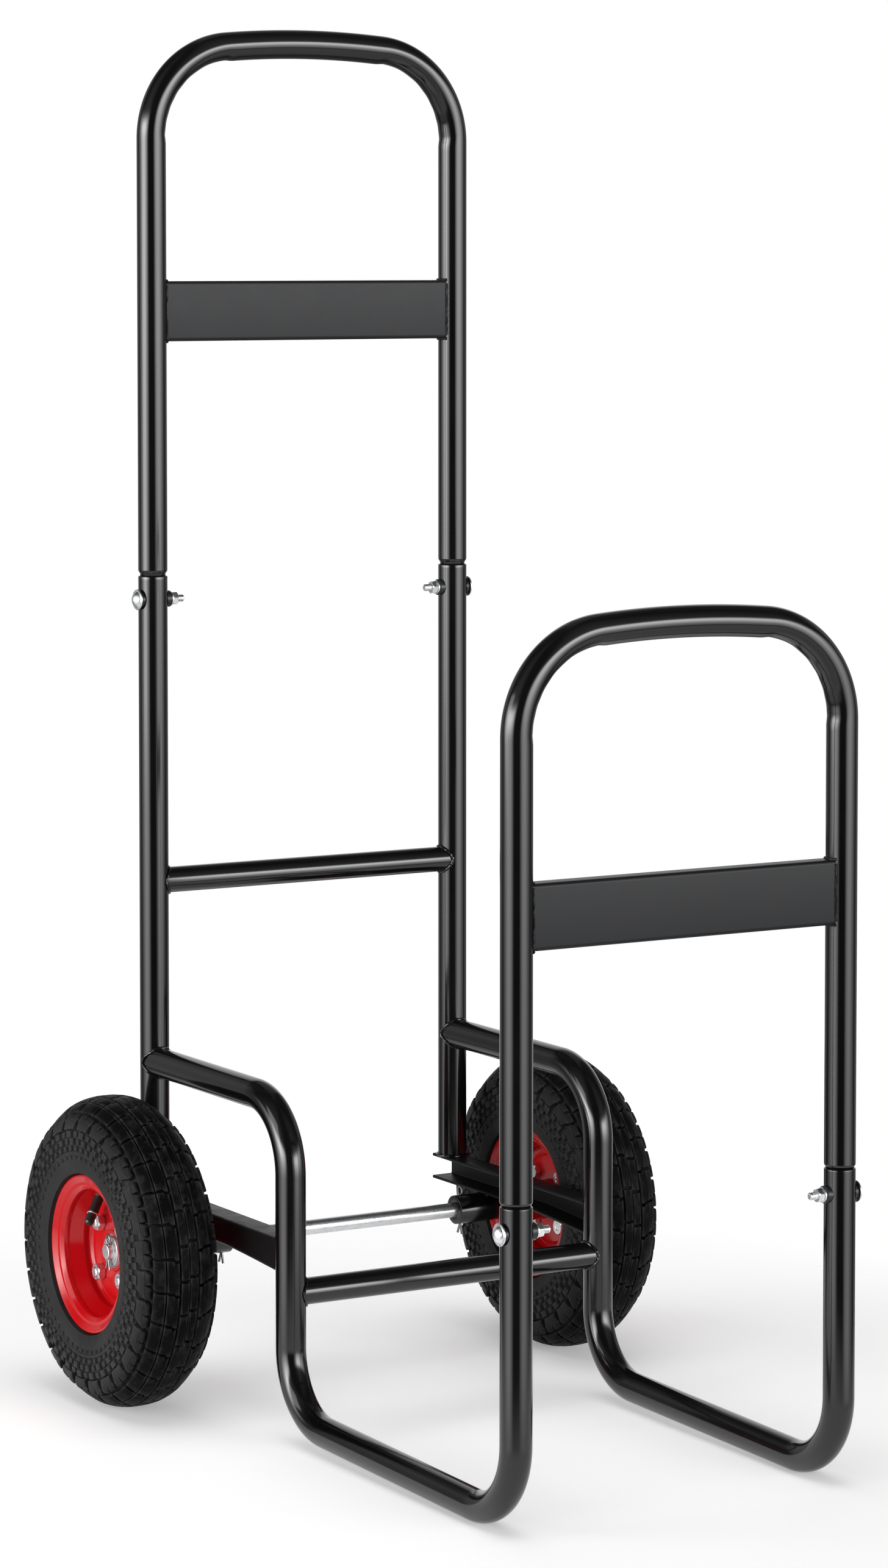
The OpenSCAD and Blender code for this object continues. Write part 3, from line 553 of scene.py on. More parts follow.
# ---------------- folded plates and brackets
def cross_plate_shape(y, z):
    """Folded channel between two legs, with welds along its ends and the ends of its folds."""
    h, depth, t, fold = PLATE_HEIGHT, PLATE_DEPTH, PLATE_SHEET, PLATE_FOLD
    outline = [(depth, 0), (0, 0), (0, h), (depth, h), (depth, h - t), (t, h - t), (t, t), (depth, t)]
    section = list(reversed(fillet(outline, [0.5, fold + t, fold + t, 0.5, 0.5, fold, fold, 0.5], 6)))
    stations = np.linspace(-UPRIGHT_X + 1, UPRIGHT_X - 1, 40)
    verts = [(x, y - depth / 2 + a, z + b) for x in stations for a, b in section]
    faces = grid_faces(len(stations), len(section), False, True) + end_caps(len(stations), len(section))
    shape = Shape().add(verts, faces)

    def leg_x(dy, inset):
        """Where the legs' inner side is, dy away from their middle."""
        return UPRIGHT_X - sqrt(TUBE_R ** 2 - dy ** 2) - inset

    for way in (-1, 1):
        front = y - depth / 2 - 0.2
        line = [(way * leg_x(depth / 2, 0.4), front, z + 3 + (h - 6) * k / 30) for k in range(31)]
        shape.add(*bead(line, 1.0, 7.0 + way))
        for weld_z in (z - 0.2, z + h + 0.2):
            steps = [-depth / 2 + depth * k / 16 for k in range(17)]
            line = [(way * leg_x(dy, 0.3), y + dy, weld_z) for dy in steps]
            shape.add(*bead(line, 1.2, 9.0 + way))
    return shape


def bracket_shape():
    """Folded channel under riser and upright, deeper at its front, with a weld to the riser."""
    top, t = BRACKET_TOP, BRACKET_SHEET
    x_out = UPRIGHT_X + TUBE_R - 2
    x_in = x_out - BRACKET_WIDTH
    front_y, full_y, rear_y = RISER_Y + 2.0, RISER_Y + 98.7, REAR_Y + TUBE_R + 2
    front_low = top - 28.0
    stations = [front_y + (full_y - front_y) * k / 12 for k in range(12)]
    stations += [full_y + (rear_y - full_y) * k / 16 for k in range(17)]
    verts, count = [], 0
    for y in stations:
        taper = max(0.0, (full_y - y) / (full_y - front_y)) ** 1.25
        low = BRACKET_LOW + (front_low - BRACKET_LOW) * taper
        outline = [(x_in, top), (x_out, top), (x_out, low), (x_in, low), (x_in, low + t),
                   (x_out - t, low + t), (x_out - t, top - t), (x_in, top - t)]
        section = fillet(outline, [0.8, 3.6, 3.6, 0.8, 0.8, 1.2, 1.2, 0.8], 5)
        count = len(section)
        verts += [(x, y, z) for x, z in section]
    shape = Shape().add(verts, grid_faces(len(stations), count, False, True) + end_caps(len(stations), count))
    weld_r = TUBE_R + 0.4
    arc = [radians(-70 + 140 * k / 24) for k in range(25)]
    line = [(UPRIGHT_X + weld_r * sin(a), RISER_Y + weld_r * cos(a), top + 0.3) for a in arc]
    return shape.add(*bead(line, 1.25, 4.0))


def add_plates():
    for name, y, z in (("handle_plate", REAR_Y, HANDLE_PLATE_Z), ("front_plate", FRONT_Y, FRONT_PLATE_Z)):
        add_piece("folded_" + name, cross_plate_shape(y, z), PLATE, [name], smooth=35)
    add_pair("bracket", bracket_shape(), SATIN, "axle_bracket", smooth=35)


add_plates()


# ---------------- joint hardware
def hexagon_nut(across, height, hole, chamfer):
    """Hexagon nut with turned chamfers and a countersunk hole, from z 0 to its height."""
    half = across / 2
    corner, cut = half / cos(radians(30)), half * 0.97

    def flat_r(a):
        """How far the hexagon's flats are at an angle."""
        return half / cos((a + pi / 6) % (pi / 3) - pi / 6)

    profile = [(hole, 0.3), (hole + 0.4, 0), (cut, 0), (cut + 0.7, chamfer * 0.5), (corner, chamfer),
               (corner, height - chamfer), (cut + 0.7, height - chamfer * 0.5), (cut, height),
               (hole + 0.5, height), (hole, height - 0.6), (hole - 0.1, height / 2)]
    verts, faces = revolve(profile, 72, shaped=lambda r, z, a: min(r, flat_r(a)))
    return verts, turned_over(faces)


def thread_profile(r, z0, z1, pitch=1.0, tip=0.6):
    """Profile of a threaded end from z0 to z1, with a chamfered tip."""
    pts, z = [(0.001, z0), (r, z0)], z0
    while z + pitch < z1 - tip:
        pts += [(r, z + pitch * 0.12), (r - 0.55 * pitch, z + pitch * 0.5), (r, z + pitch * 0.88)]
        z += pitch
    return pts + [(r, z1 - tip), (r - tip, z1), (0.001, z1)]


def saddle_shape(thick, way):
    """Saddle along way * X: one face hollowed to the tube, the other flat with a soft edge."""
    steps, verts = 56, []
    face = TUBE_R + thick
    # (radius, along): along is measured from the tube's surface where it is under 1
    ring = ((BOLT_HOLE_R, 0), (SADDLE_R - 0.5, 0), (SADDLE_R, 0.3), (SADDLE_R, face - 0.7),
            (SADDLE_R - 0.4, face - 0.2), (SADDLE_R - 1.1, face), (BOLT_HOLE_R, face))
    for a in circle(steps):
        for r, along in ring:
            y, z = r * cos(a), r * sin(a)
            seat = sqrt(TUBE_R ** 2 - min(abs(y), TUBE_R - 0.01) ** 2) + 0.05
            verts.append(((seat + along if along < 1 else along) * way, y, z))
    return verts, grid_faces(steps, len(ring), True, True, flip=way > 0)


def bolt_head_profile():
    """Domed head on a thin flange."""
    r, height, flange = 8.75, 5.2, 1.3
    pts = [(0.001, 0), (r - 0.25, 0), (r, 0.25), (r, flange - 0.35), (r - 0.35, flange), (r - 1.5, flange)]
    dome_w, dome_h = r - 1.8, height - flange
    dome_r = (dome_w ** 2 + dome_h ** 2) / (2 * dome_h)
    for k in range(13):
        a = asin(min(1, dome_w / dome_r)) * (1 - k / 12)
        pts.append((max(dome_r * sin(a), 0.001), height - dome_r + dome_r * cos(a)))
    return pts


def add_joint_hardware():
    """Bolt, two saddles, washer and nut at the four joints between posts and hoops."""
    bolts, saddles, washers, nuts = Shape(), Shape(), Shape(), Shape()
    outer, inner = UPRIGHT_X + TUBE_R, UPRIGHT_X - TUBE_R
    bolt_head = list(reversed(bolt_head_profile()))
    bolt_tail = list(reversed(thread_profile(BOLT_R, 0, 19.5)))
    washer = list(reversed(fillet([(BOLT_HOLE_R, 0), (6, 0), (6, 1.2), (BOLT_HOLE_R, 1.2)], 0.25, 3)))
    for y, z in ((FRONT_Y, HOOP_JOINT - BOLT_DROP), (REAR_Y, HANDLE_JOINT - BOLT_DROP)):
        spin = Matrix.Rotation(radians(random.uniform(0, 60)), 4, "Z")
        bolts.add(*revolve(bolt_head, 64), side_turn(outer + 1.7, y, z))
        bolts.add(*revolve(bolt_tail, 40), side_turn(inner + 3.2, y, z, -1))
        for thick, way in ((1.6, 1), (3.4, -1)):
            saddles.add(*saddle_shape(thick, way), Matrix.Translation((UPRIGHT_X, y, z)))
        washers.add(*revolve(washer, 56), side_turn(inner - 3.5, y, z, -1))
        nuts.add(*hexagon_nut(10.0, 5.0, 3.05, 0.9), side_turn(inner - 4.8, y, z, -1) @ spin)
    for name, shape, material in (("joint_bolts", bolts, ZINC), ("joint_saddles", saddles, CAP),
                                  ("joint_washers", washers, ZINC), ("joint_nuts", nuts, ZINC)):
        add_piece("fine_" + name, shape.with_mirrored(), material, [name], smooth=32)


add_joint_hardware()


# ---------------- axle, sleeves, washers, pins
def cotter_shape(x, hole):
    """Split pin: round eye on top, two half wires through the hole, two bent legs."""
    half, shape = hole / 2, Shape()
    offset, foot = 0.75, -half - 0.5
    for way, bend in ((-1, 14), (1, 24)):
        eye = [(0.0, way * offset, half - 1)]
        for k in range(15):
            a = radians(-62 + 152 * k / 14)
            eye.append((0.0, way * 3.3 * cos(a), half + 3.9 + 3.6 * sin(a)))
        path = list(reversed(eye)) + [(0, way * offset, -half * 0.4), (0, way * offset, foot)]
        a = radians(bend)
        for k in range(1, 8):
            path.append((0, way * (offset + k * 1.25 * sin(a)), foot - k * 1.25 * cos(a)))
        shape.add(*sweep([(p[0] + x, p[1] + AXLE_Y, p[2] + AXLE_Z) for p in path], PIN_WIRE_R, 12))
    return shape


def add_axle():
    on_axle = side_turn(0, AXLE_Y, AXLE_Z)

    def ring(inside, outside, start, end):
        return [(inside, start), (outside, start), (outside, end), (inside, end)]

    bar = ring(0.001, AXLE_R, -AXLE_END, AXLE_END)
    axle = Shape().add(*revolve_fillet(bar, [0, 1.1, 1.1, 0], 64), on_axle)
    add_piece("fine_axle", axle, ZINC, ["axle"], smooth=35)

    profile = ring(AXLE_HOLE_R, SLEEVE_R, SLEEVE_IN, SLEEVE_OUT)
    sleeve = Shape().add(*revolve_fillet(profile, 0.7, 64), on_axle)
    for dy in (-6.5, 6.5):
        weld_z = AXLE_Z + sqrt(SLEEVE_R ** 2 - dy ** 2) + 0.3
        line = [(x, AXLE_Y + dy, weld_z) for x in np.linspace(UPRIGHT_X - 10, UPRIGHT_X + 10, 24)]
        sleeve.add(*bead(line, 1.0, dy))
    add_pair("sleeve", sleeve, BLACK, "axle_sleeve", smooth=35)

    washers = Shape()
    for z in (-HUB_IN - WASHER_PLAY - AXLE_WASHER, HUB_OUT + WASHER_PLAY):
        profile = ring(AXLE_HOLE_R, AXLE_WASHER_R, z, z + AXLE_WASHER)
        washers.add(*revolve_fillet(profile, 0.4, 64), side_turn(WHEEL_X, AXLE_Y, AXLE_Z))
    add_piece("fine_axle_washers", washers.with_mirrored(), ZINC, ["axle_washers"], smooth=35)

    pins = Shape()
    for x, hole in ((WHEEL_X + PIN_OUT, 2 * AXLE_R), (SLEEVE_IN + 6, 2 * SLEEVE_R)):
        pin = cotter_shape(x, hole)
        pins.add(pin.verts, pin.faces)
    add_piece("fine_cotter_pins", pins.with_mirrored(), WIRE, ["axle_cotter_pins"])


add_axle()


# ---------------- wheels
def section_table(n=1400):
    """Tyre's outside from the crown to a bead: rows of arc length, across, radius and normal."""
    rows, length, last = [], 0.0, None
    for k in range(n + 1):
        a = radians(90 - 175 * k / n)
        c, s = cos(a), sin(a)
        u = TYRE_HALF * copysign(abs(c) ** 0.8, c)
        r = SECTION_R + SECTION_H * copysign(abs(s) ** 0.8, s)
        nu = copysign(abs(c) ** 1.2, c) / TYRE_HALF
        nr = copysign(abs(s) ** 1.2, s) / SECTION_H
        size = hypot(nu, nr)
        if last:
            length += hypot(u - last[0], r - last[1])
        last = (u, r)
        rows.append((length, u, r, nu / size, nr / size))
    return np.array(rows)


SECTION = section_table()


def section_at(a):
    """Across, radius and normal of the tyre's outside, a mm along it from the crown."""
    return [np.interp(a, SECTION[:, 0], SECTION[:, i]) for i in (1, 2, 3, 4)]


def arc_of_radius(r):
    """How far along its outside, from the crown, the tyre has a radius."""
    return SECTION[np.argmin(np.abs(SECTION[:, 2] - r)), 0]


def on_tyre(a, h, w):
    """Point of the tyre: a mm across from the crown, h mm out of the surface, w mm round at the crown."""
    u, r, nu, nr = section_at(abs(a))
    u, r, t = u + nu * h, r + nr * h, w / TYRE_R
    return (r * cos(t), r * sin(t), copysign(u, a) if a else 0.0)


def carcass_profile():
    """Half section of the tyre under its blocks, from the crown round to the inside of the bead."""
    depth = [(0, 3.4)] + [(arc_of_radius(r), d) for r, d in (
        (108, 3.2), (104.5, 2.4), (103.4, 1.2), (86.4, 1.0), (85.8, 0.1), (83.6, 0.1), (82.9, 0.8),
        (79.2, 0.8), (78.4, 0.15))] + [(200, 0.15)]
    pts = []
    for a in np.linspace(0, arc_of_radius(67.5), 150):
        u, r, nu, nr = section_at(a)
        h = -float(np.interp(a, [d[0] for d in depth], [d[1] for d in depth]))
        pts.append((r + nr * h, u + nu * h))
    # bead and inside, as (radius, across)
    return pts + [(66.8, 28.0), (66.4, 26.5), (65.8, 25.7), (58.4, 25.6), (56.6, 24.6), (55.0, 22.5),
                  (54.95, 18.0), (60.0, 17.8), (73.2, 27.6)]


def block(shape, a0, a1, low, high, na, nw, top=0.0, floor=-3.4, bevel=0.5, draft=0.45):
    """Tread block between a0 and a1 across, and between the lines low(t) and high(t) round."""
    way = np.sign(a1 - a0)

    def corner(i, j, inset):
        t, q = i / na, j / nw
        lo, hi = low(t) + inset, high(t) - inset
        return a0 + inset * way + (a1 - a0 - 2 * inset * way) * t, lo + (hi - lo) * q

    verts, index = [], {}

    def put(level, i, j, inset, h):
        a, w = corner(i, j, inset)
        index[(level, i, j)] = len(verts)
        verts.append(on_tyre(a, h, w))

    for i in range(na + 1):
        for j in range(nw + 1):
            put("top", i, j, bevel, top)
    rim = [(i, 0) for i in range(na)] + [(na, j) for j in range(nw)]
    rim += [(na - i, nw) for i in range(na)] + [(0, nw - j) for j in range(nw)]
    for level, inset, h in (("bevel", bevel * 0.3, top - bevel * 0.3), ("wall", 0.0, top - bevel),
                            ("foot", -draft, floor)):
        for i, j in rim:
            put(level, i, j, inset, h)
    faces = []
    for i in range(na):
        for j in range(nw):
            faces.append(tuple(index[("top", *c)] for c in ((i, j), (i + 1, j), (i + 1, j + 1), (i, j + 1))))
    for p, q in zip(rim, rim[1:] + rim[:1]):
        for upper, lower in (("top", "bevel"), ("bevel", "wall"), ("wall", "foot")):
            faces.append((index[(lower, *p)], index[(lower, *q)], index[(upper, *q)], index[(upper, *p)]))
    shape.add(verts, turned_over(faces) if a1 > a0 else faces)


def broken_line(*points):
    """Line through (t, w) points as a function of t."""
    ts, ws = [p[0] for p in points], [p[1] for p in points]
    return lambda t: float(np.interp(t, ts, ws))


def inner_row(shape, way, row, edge, w0):
    """Two cheeks with a narrow cut between them; the inner one has a step in its ends."""
    last = PITCH - GROOVE

    def stepped(w):
        return broken_line((0, w0 + 1.9 + w), (0.30, w0 + 1.9 + w), (0.42, w0 + w), (1, w0 - 0.6 + w))

    def slanted(w):
        return broken_line((0, w0 - 0.6 + w), (1, w0 - 2.0 + w))

    block(shape, way * row, way * 19.8, stepped(GROOVE), stepped(last), 7, 3)
    block(shape, way * 21.1, way * edge, slanted(GROOVE), slanted(last), 7, 3, top=-0.3)


def shoulder_lug(shape, way, edge, w1):
    """An inner end of two rounded lobes, then one broad block down the side wall."""
    lobe_end, lug_end = 39.4, arc_of_radius(104.3)
    lobe, slant = PITCH / 2 - GROOVE - 0.25, 1.3
    rounding = [(0, 3.6), (0.12, 2.0), (0.3, 1.0), (0.6, 0.3), (1, 0)]
    for k, (low_share, high_share) in enumerate(((1, 0.55), (0.55, 1))):
        base = w1 + GROOVE + k * (lobe + 0.9)
        low = broken_line(*[(t, base + low_share * v - slant * t) for t, v in rounding])
        high = broken_line(*[(t, base + lobe - high_share * v - slant * t) for t, v in rounding])
        block(shape, way * (edge + 3.0), way * lobe_end, low, high, 10, 3, top=1.7, bevel=0.7)

    def lug_low(t):
        return w1 + GROOVE - slant - 2.6 * t ** 1.4 + 2.6 * t

    def lug_high(t):
        return w1 + PITCH - GROOVE - 0.4 - slant - 2.6 * t ** 1.4 - 2.8 * t

    block(shape, way * lobe_end, way * lug_end, lug_low, lug_high, 9, 5, top=1.9, floor=-2.8,
          bevel=0.9, draft=0.4)


# Fine nubs on the side walls: number round, inner and outer radius, half width, start, top
NUB_RINGS = ((28, 98.0, 103.0, 4.7, 0.10, 1.7), (28, 98.4, 102.4, 3.6, 0.60, 1.2),
             (28, 91.8, 96.8, 4.2, 0.35, 1.8), (28, 92.4, 96.2, 3.3, 0.85, 1.3),
             (56, 86.9, 90.6, 2.9, 0.3, 1.1), (28, 87.4, 89.8, 1.6, 0.05, 0.6),
             (56, 80.0, 82.3, 1.7, 0.0, 0.6))


def tyre_shape():
    half = carcass_profile()
    shape = Shape().add(*revolve(half + [(r, -u) for r, u in reversed(half[1:])], 224))
    one = Shape()
    # centre row: blocks with a cut down their middle and their halves shifted
    for a0, a1, shift in ((-7.6, -0.45, -2.0), (0.45, 7.6, 2.0)):
        low, high = shift + GROOVE, shift + PITCH - GROOVE
        block(one, a0, a1, broken_line((0, low)), broken_line((0, high)), 4, 3)
    row, edge = 9.6, 32.0
    for way, phase in ((-1, 0.16), (1, 0.42)):
        inner_row(one, way, row, edge, PITCH * phase)
        shoulder_lug(one, way, edge, PITCH * phase + PITCH * 0.30)
    for a in circle(BLOCKS):
        shape.add(one.verts, one.faces, Matrix.Rotation(a, 4, "Z"))
    for count, r0, r1, wide, start, top in NUB_RINGS:
        nub = Shape()
        for way in (-1, 1):
            block(nub, way * arc_of_radius(r1), way * arc_of_radius(r0), broken_line((0, -wide)),
                  broken_line((0, wide)), 2, 2, top=top, floor=-1.4, bevel=0.6, draft=0.35)
        for k in range(count):
            shape.add(nub.verts, nub.faces, Matrix.Rotation(2 * pi * (k + start) / count, 4, "Z"))
    return shape


def rim_half_shape():
    """Pressed rim half: dished disc, well, tyre seat and rolled lip, as (radius, along, rounding)."""
    sheet, well, seat, flange = 2.0, 49.0, 54.6, 66.0
    bore, disc_r, disc_in, disc_out = 17.1, 38.0, 3.0, 5.0
    profile = [
        (bore, disc_in, 0), (disc_r - 1, disc_in, 1), (disc_r + 1, 0.05, 1), (well - 3, 0.05, 2.5),
        (well, 3.0, 2), (well, 12.0, 1.5), (seat, 14.5, 1.5), (seat, 24.0, 1), (seat + 2, 25.9, 1),
        (flange - 2.4, 25.9, 1), (flange, 27.6, 1), (flange + 0.2, 30.4, 0.8), (flange - 1.4, 31.0, 1.0),
        (flange - 6.4, 27.7, 2.0), (flange - 9.0, 27.7, 2.0), (seat - 1.2, 24.6, 2.5),
        (seat - sheet, 22.0, 1.5), (seat - sheet - 0.2, 20.5, 5), (well - sheet, 9.5, 5),
        (well - sheet, 4.6, 2.5), (well - sheet - 3, 2.0, 2), (disc_r + 2.2, 2.0, 1.2),
        (disc_r, disc_out, 1.0), (bore, disc_out, 0.4)]
    outline = fillet([(r, z) for r, z, _ in profile], [rounding for _, _, rounding in profile], 5)
    verts, faces = revolve(outline, 144)
    return Shape().add(verts, turned_over(faces))


def hub_shape():
    """Hub with a bearing seat at each end and the flange between the rim halves."""
    bore, seat, outside, flange, flange_half = 12.2, 14.2, 17, 36, 2.9
    bearing = 8
    return Shape().add(*revolve_fillet(
        [(bore, bearing - HUB_IN), (seat, bearing - HUB_IN), (seat, -HUB_IN), (outside, -HUB_IN),
         (outside, -flange_half), (flange, -flange_half), (flange, flange_half), (outside, flange_half),
         (outside, HUB_OUT), (seat, HUB_OUT), (seat, HUB_OUT - bearing), (bore, HUB_OUT - bearing)],
        [0.2, 0.3, 0.4, 0.8, 1.2, 0.6, 0.6, 0.8, 0.8, 0.4, 0.3, 0.2], 96))


def rim_fastener_shapes():
    """Nuts outboard, and bolts whose heads are inboard."""
    nuts, bolts = Shape(), Shape()
    for k in range(RIM_BOLTS):
        a = 2 * pi * (k + 0.5) / RIM_BOLTS
        at = Matrix.Translation((RIM_BOLT_CIRCLE * cos(a), RIM_BOLT_CIRCLE * sin(a), 0))
        spin = Matrix.Rotation(random.uniform(0, 1), 4, "Z")
        nuts.add(*hexagon_nut(13.0, 6.5, 4.05, 1.1), at @ Matrix.Translation((0, 0, 5.1)) @ spin)
        bolts.add(*hexagon_nut(13.0, 5.3, 3.0, 1.0), at @ Matrix.Translation((0, 0, -10.4)) @ spin)
        verts, faces = revolve(thread_profile(4.0, -10.0, 13.2, 1.25, 0.8), 48)
        bolts.add(verts, turned_over(faces), at)
    return nuts, bolts


# The valve stands in the rim's well and leans outboard
AT_VALVE = (Matrix.Rotation(radians(180 - 23), 4, "Z") @ Matrix.Translation((49.0, 0, 7.5))
            @ Matrix.Rotation(radians(-90 + 34), 4, "Y"))


def valve_stem_shape():
    profile = [(0.001, -6), (4.25, -6), (4.25, -1.5), (6.4, -0.6), (6.6, 0.8), (5.2, 2.2), (4.25, 3.5),
               (4.2, 9), (4.25, 17.8), (3.9, 19.0), (2.4, 19.0), (2.2, 20), (2.1, 24), (0.001, 24)]
    return Shape().add(*revolve_fillet(profile, 0.5, 48), AT_VALVE)


def valve_cap_shape():
    """Hollow cap with 18 ribs round it."""
    profile = fillet([(2.3, 19.6), (3.7, 19.6), (3.95, 20.1), (3.95, 27.6), (3.0, 29.4), (0.001, 29.5),
                      (0.001, 28.0), (2.3, 28.0)], 0.3, 3)

    def ribbed(r, z, a):
        return r - 0.22 * (0.5 + 0.5 * cos(18 * a)) if r > 3.6 and 20.4 < z < 27.4 else r

    verts, faces = revolve(profile, 72, shaped=ribbed)
    return Shape().add(verts, turned_over(faces), AT_VALVE)


def add_wheels():
    """Sets each piece, drawn round +Z with +Z outward, on the right wheel and mirrored on the left."""
    outer = rim_half_shape()
    inner = Shape().add([(x, y, -z) for x, y, z in outer.verts], turned_over(outer.faces))
    nuts, bolts = rim_fastener_shapes()
    collar_profile = [(2.0, 18.7), (4.7, 18.7), (4.7, 20.0), (2.0, 20.0)]
    collar = Shape().add(*revolve_fillet(collar_profile, 0.25, 40), AT_VALVE)
    for name, shape, material, node_name, smooth in (
            ("tyre", tyre_shape(), TYRE, "tyre", 38), ("rim_outer", outer, RED, "outer_rim_half", 30),
            ("rim_inner", inner, RED, "inner_rim_half", 30), ("hub", hub_shape(), RED, "hub", 30),
            ("rim_nuts", nuts, ZINC, "rim_nuts", 32), ("rim_bolts", bolts, ZINC, "rim_bolts", 32),
            ("valve_stem", valve_stem_shape(), TUBE, "valve_stem", 35),
            ("valve_cap", valve_cap_shape(), CAP, "valve_cap", 35), ("valve_collar", collar, ZINC, None, 35)):
        right = Shape().add(shape.verts, shape.faces, side_turn(WHEEL_X, AXLE_Y, AXLE_Z))
        add_pair(name, right, material, node_name, ("right_wheel", "left_wheel"), smooth)


add_wheels()


# ---------------- floor, light, camera
# The studio by direction: soft panels to the left and right of the camera, a white backdrop behind
# the cart, a pale floor below and a dim room round the camera. Stops are (position, level): azimuth
# from 0 at the camera to 1 behind the cart, height from 0 straight down to 1 straight up.
TO_CAMERA = Vector((-0.509, -0.861, 0.0))
TO_RIGHT = Vector((0.861, -0.509, 0.0))
SIDE_BY_AZIMUTH = [(0.0, 0.0), (0.115, 0.0), (0.167, 0.4), (0.20, 0.68), (0.26, 0.95), (0.333, 1.0),
                   (0.405, 0.66), (0.494, 0.27), (0.59, 0.03), (0.65, 0.0), (1.0, 0.0)]
SIDE_BY_HEIGHT = [(0.0, 0.0), (0.378, 0.0), (0.411, 0.19), (0.444, 0.24), (0.483, 0.44), (0.517, 0.72),
                  (0.55, 1.0), (0.578, 0.9), (0.60, 0.25), (0.622, 0.03), (1.0, 0.0)]
BACK_BY_AZIMUTH = [(0.0, 0.0), (0.60, 0.0), (0.68, 0.35), (0.84, 0.3), (0.91, 1.0), (1.0, 1.0)]
BACK_BY_HEIGHT = [(0.0, 0.0), (0.36, 0.0), (0.42, 1.0), (0.62, 1.0), (0.70, 0.12), (1.0, 0.05)]
GROUND_BY_HEIGHT = [(0.0, 0.15), (0.10, 0.3), (0.22, 0.6), (0.35, 0.75), (0.385, 0.0), (1.0, 0.0)]
GROUND_BY_AZIMUTH = [(0.0, 1.0), (0.5, 1.0), (0.65, 0.25), (1.0, 0.25)]
SIDE_LEVEL, ROOM_LEVEL, FLOOR_GLOW = 11.0, 0.025, 0.25
FLOOR_Z = -0.0002                 # metres, just under the CAD so that the two don't share a plane


def sees_backdrop(tree, share_of_glossy=1.0):
    """1 for the rays that show the white backdrop: camera, transmission and mirrored ones."""
    rays = new_node(tree, "LightPath").outputs
    through = math_node(tree, "MAXIMUM", rays["Is Camera Ray"], rays["Is Transmission Ray"])
    mirrored = math_node(tree, "MULTIPLY", rays["Is Glossy Ray"], share_of_glossy)
    return math_node(tree, "MAXIMUM", through, mirrored)


def mix_shader(tree, fac, first, second, out):
    """Mixes two shaders into an output node."""
    mix = new_node(tree, "MixShader", Fac=fac)
    feed(first, mix.inputs[1])
    feed(second, mix.inputs[2])
    wire(out, Surface=mix.outputs["Shader"])


def floor_material():
    """Pale matt floor that fades into the white backdrop a little way out from the cart."""
    m, tree, bsdf = new_material("floor")
    drift = noise_tex(tree, object_coords(tree), 3, 3, 0.5)
    wire(bsdf, Base_Color=mix_color(tree, drift, (0.91, 0.91, 0.91), (0.93, 0.93, 0.93)), Roughness=0.75,
         Specular_IOR_Level=0.2)
    glow = new_node(tree, "Emission", Strength=math_node(tree, "MULTIPLY", sees_backdrop(tree), FLOOR_GLOW))
    lit = new_node(tree, "AddShader")
    feed(bsdf.outputs["BSDF"], lit.inputs[0])
    feed(glow.outputs["Emission"], lit.inputs[1])
    away = vector_node(tree, "LENGTH", object_coords(tree, (1.2, 1.0, 1.0))).outputs["Value"]
    clear = new_node(tree, "BsdfTransparent").outputs["BSDF"]
    mix_shader(tree, remap(tree, away, 0.5, 0.9, 0, 1), lit.outputs["Shader"], clear,
               tree.nodes["Material Output"])
    return m


def make_floor():
    rings, steps = [0.0001, 0.2, 0.4, 0.6, 0.8, 1.0], 96
    verts = [(r * cos(a), r * sin(a), FLOOR_Z) for r in rings for a in circle(steps)]
    mesh = bpy.data.meshes.new("studio_floor")
    mesh.from_pydata(verts, [], grid_faces(len(rings), steps, False, True, True))
    mesh.update()
    floor = bpy.data.objects.new("studio_floor", mesh)
    bpy.context.scene.collection.objects.link(floor)
    mesh.materials.append(floor_material())


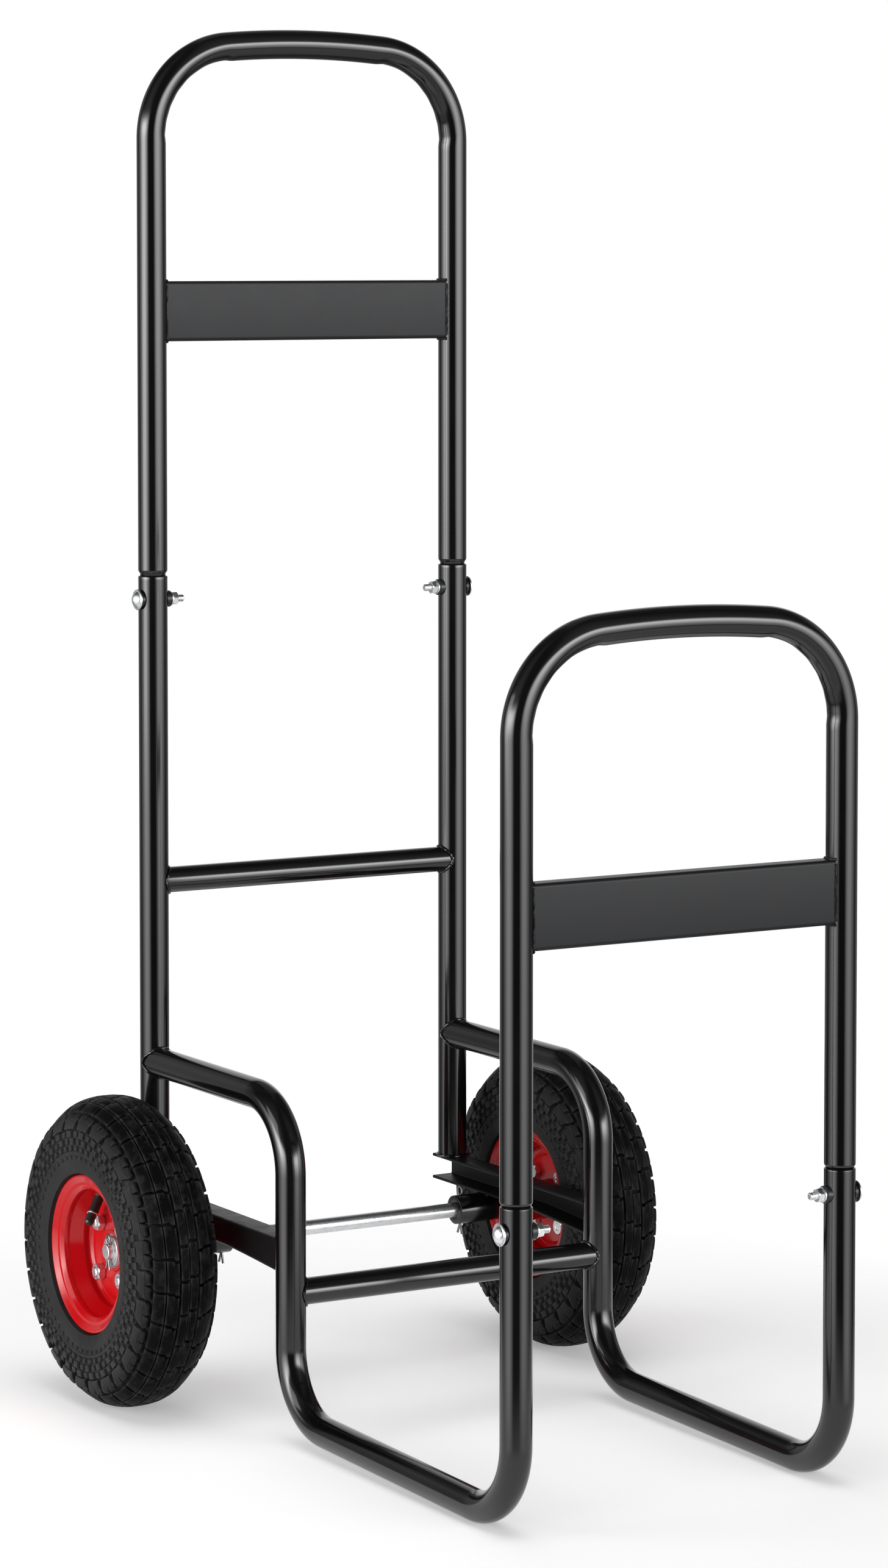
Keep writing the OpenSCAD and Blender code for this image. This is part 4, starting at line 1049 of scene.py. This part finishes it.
def make_world():
    world = bpy.data.worlds.new("studio")
    bpy.context.scene.world = world
    world.use_nodes = True
    tree = world.node_tree
    tree.nodes.clear()
    coords = new_node(tree, "TexCoord").outputs["Generated"]

    def along(axis):
        return vector_node(tree, "DOT_PRODUCT", coords, axis).outputs["Value"]

    azimuth = math_node(tree, "ARCTAN2", along(TO_RIGHT), along(TO_CAMERA))
    turn = math_node(tree, "DIVIDE", math_node(tree, "ABSOLUTE", azimuth), pi)
    height = math_node(tree, "ARCSINE", along(Vector((0, 0, 1))))
    height = math_node(tree, "ADD", math_node(tree, "DIVIDE", height, pi), 0.5)

    def level(azimuth_stops, height_stops):
        return math_node(tree, "MULTIPLY", ramp(tree, turn, azimuth_stops), ramp(tree, height, height_stops))

    left_more = remap(tree, azimuth, -1, 1, SIDE_LEVEL * 1.08, SIDE_LEVEL * 0.92)
    side = math_node(tree, "MULTIPLY", level(SIDE_BY_AZIMUTH, SIDE_BY_HEIGHT), left_more)
    total = math_node(tree, "MAXIMUM", side, level(BACK_BY_AZIMUTH, BACK_BY_HEIGHT))
    total = math_node(tree, "MAXIMUM", total, level(GROUND_BY_AZIMUTH, GROUND_BY_HEIGHT))
    total = math_node(tree, "ADD", total, ROOM_LEVEL)
    behind = math_node(tree, "MULTIPLY", remap(tree, turn, 0.86, 0.92, 0, 1),
                       ramp(tree, height, BACK_BY_HEIGHT))
    lit, white = [new_node(tree, "Background", Color=(1, 1, 1, 1), Strength=level).outputs["Background"]
                  for level in (total, 1.0)]
    mix_shader(tree, sees_backdrop(tree, behind), lit, white, new_node(tree, "OutputWorld"))


def lamp(name, place, aim, width, height, radiance, glossy):
    """Soft rectangular lamp, given by its radiance, that the camera doesn't see."""
    light = bpy.data.lights.new(name, "AREA")
    light.shape = "RECTANGLE"
    light.size, light.size_y = width, height
    light.energy = radiance * pi * width * height
    obj = bpy.data.objects.new(name, light)
    bpy.context.scene.collection.objects.link(obj)
    obj.location = place
    obj.rotation_mode = "QUATERNION"
    obj.rotation_quaternion = (Vector(aim) - Vector(place)).normalized().to_track_quat("-Z", "Y")
    obj.visible_camera = False
    obj.visible_glossy = glossy


def make_camera():
    """The photograph's camera; its focal length was fitted in pixels of the photograph's 2572 rows."""
    data = bpy.data.cameras.new("camera")
    camera = bpy.data.objects.new("camera", data)
    bpy.context.scene.collection.objects.link(camera)
    bpy.context.scene.camera = camera
    data.sensor_fit = "AUTO"
    data.sensor_width = 36
    data.lens = 7766 / 2572 * 36
    data.shift_y = -0.15
    data.clip_start, data.clip_end = 0.1, 100
    yaw, tilt = radians(30.61), radians(3.65)
    forward = Vector((sin(yaw) * cos(tilt), cos(yaw) * cos(tilt), -sin(tilt)))
    camera.location = (-1.9799, -3.3130, 0.9701)
    camera.rotation_mode = "QUATERNION"
    camera.rotation_quaternion = forward.to_track_quat("-Z", "Y")


make_floor()
make_world()
lamp("soft_top", (-0.3, -0.2, 2.5), (0, 0, 0), 2.0, 2.0, 2.5, False)
lamp("soft_left", (-1.9, 0.3, 0.9), (-0.2, 0.2, 0.2), 1.0, 1.2, 2.4, True)
make_camera()
bpy.context.scene.view_settings.view_transform = "Standard"

bpy.context.view_layer.update()
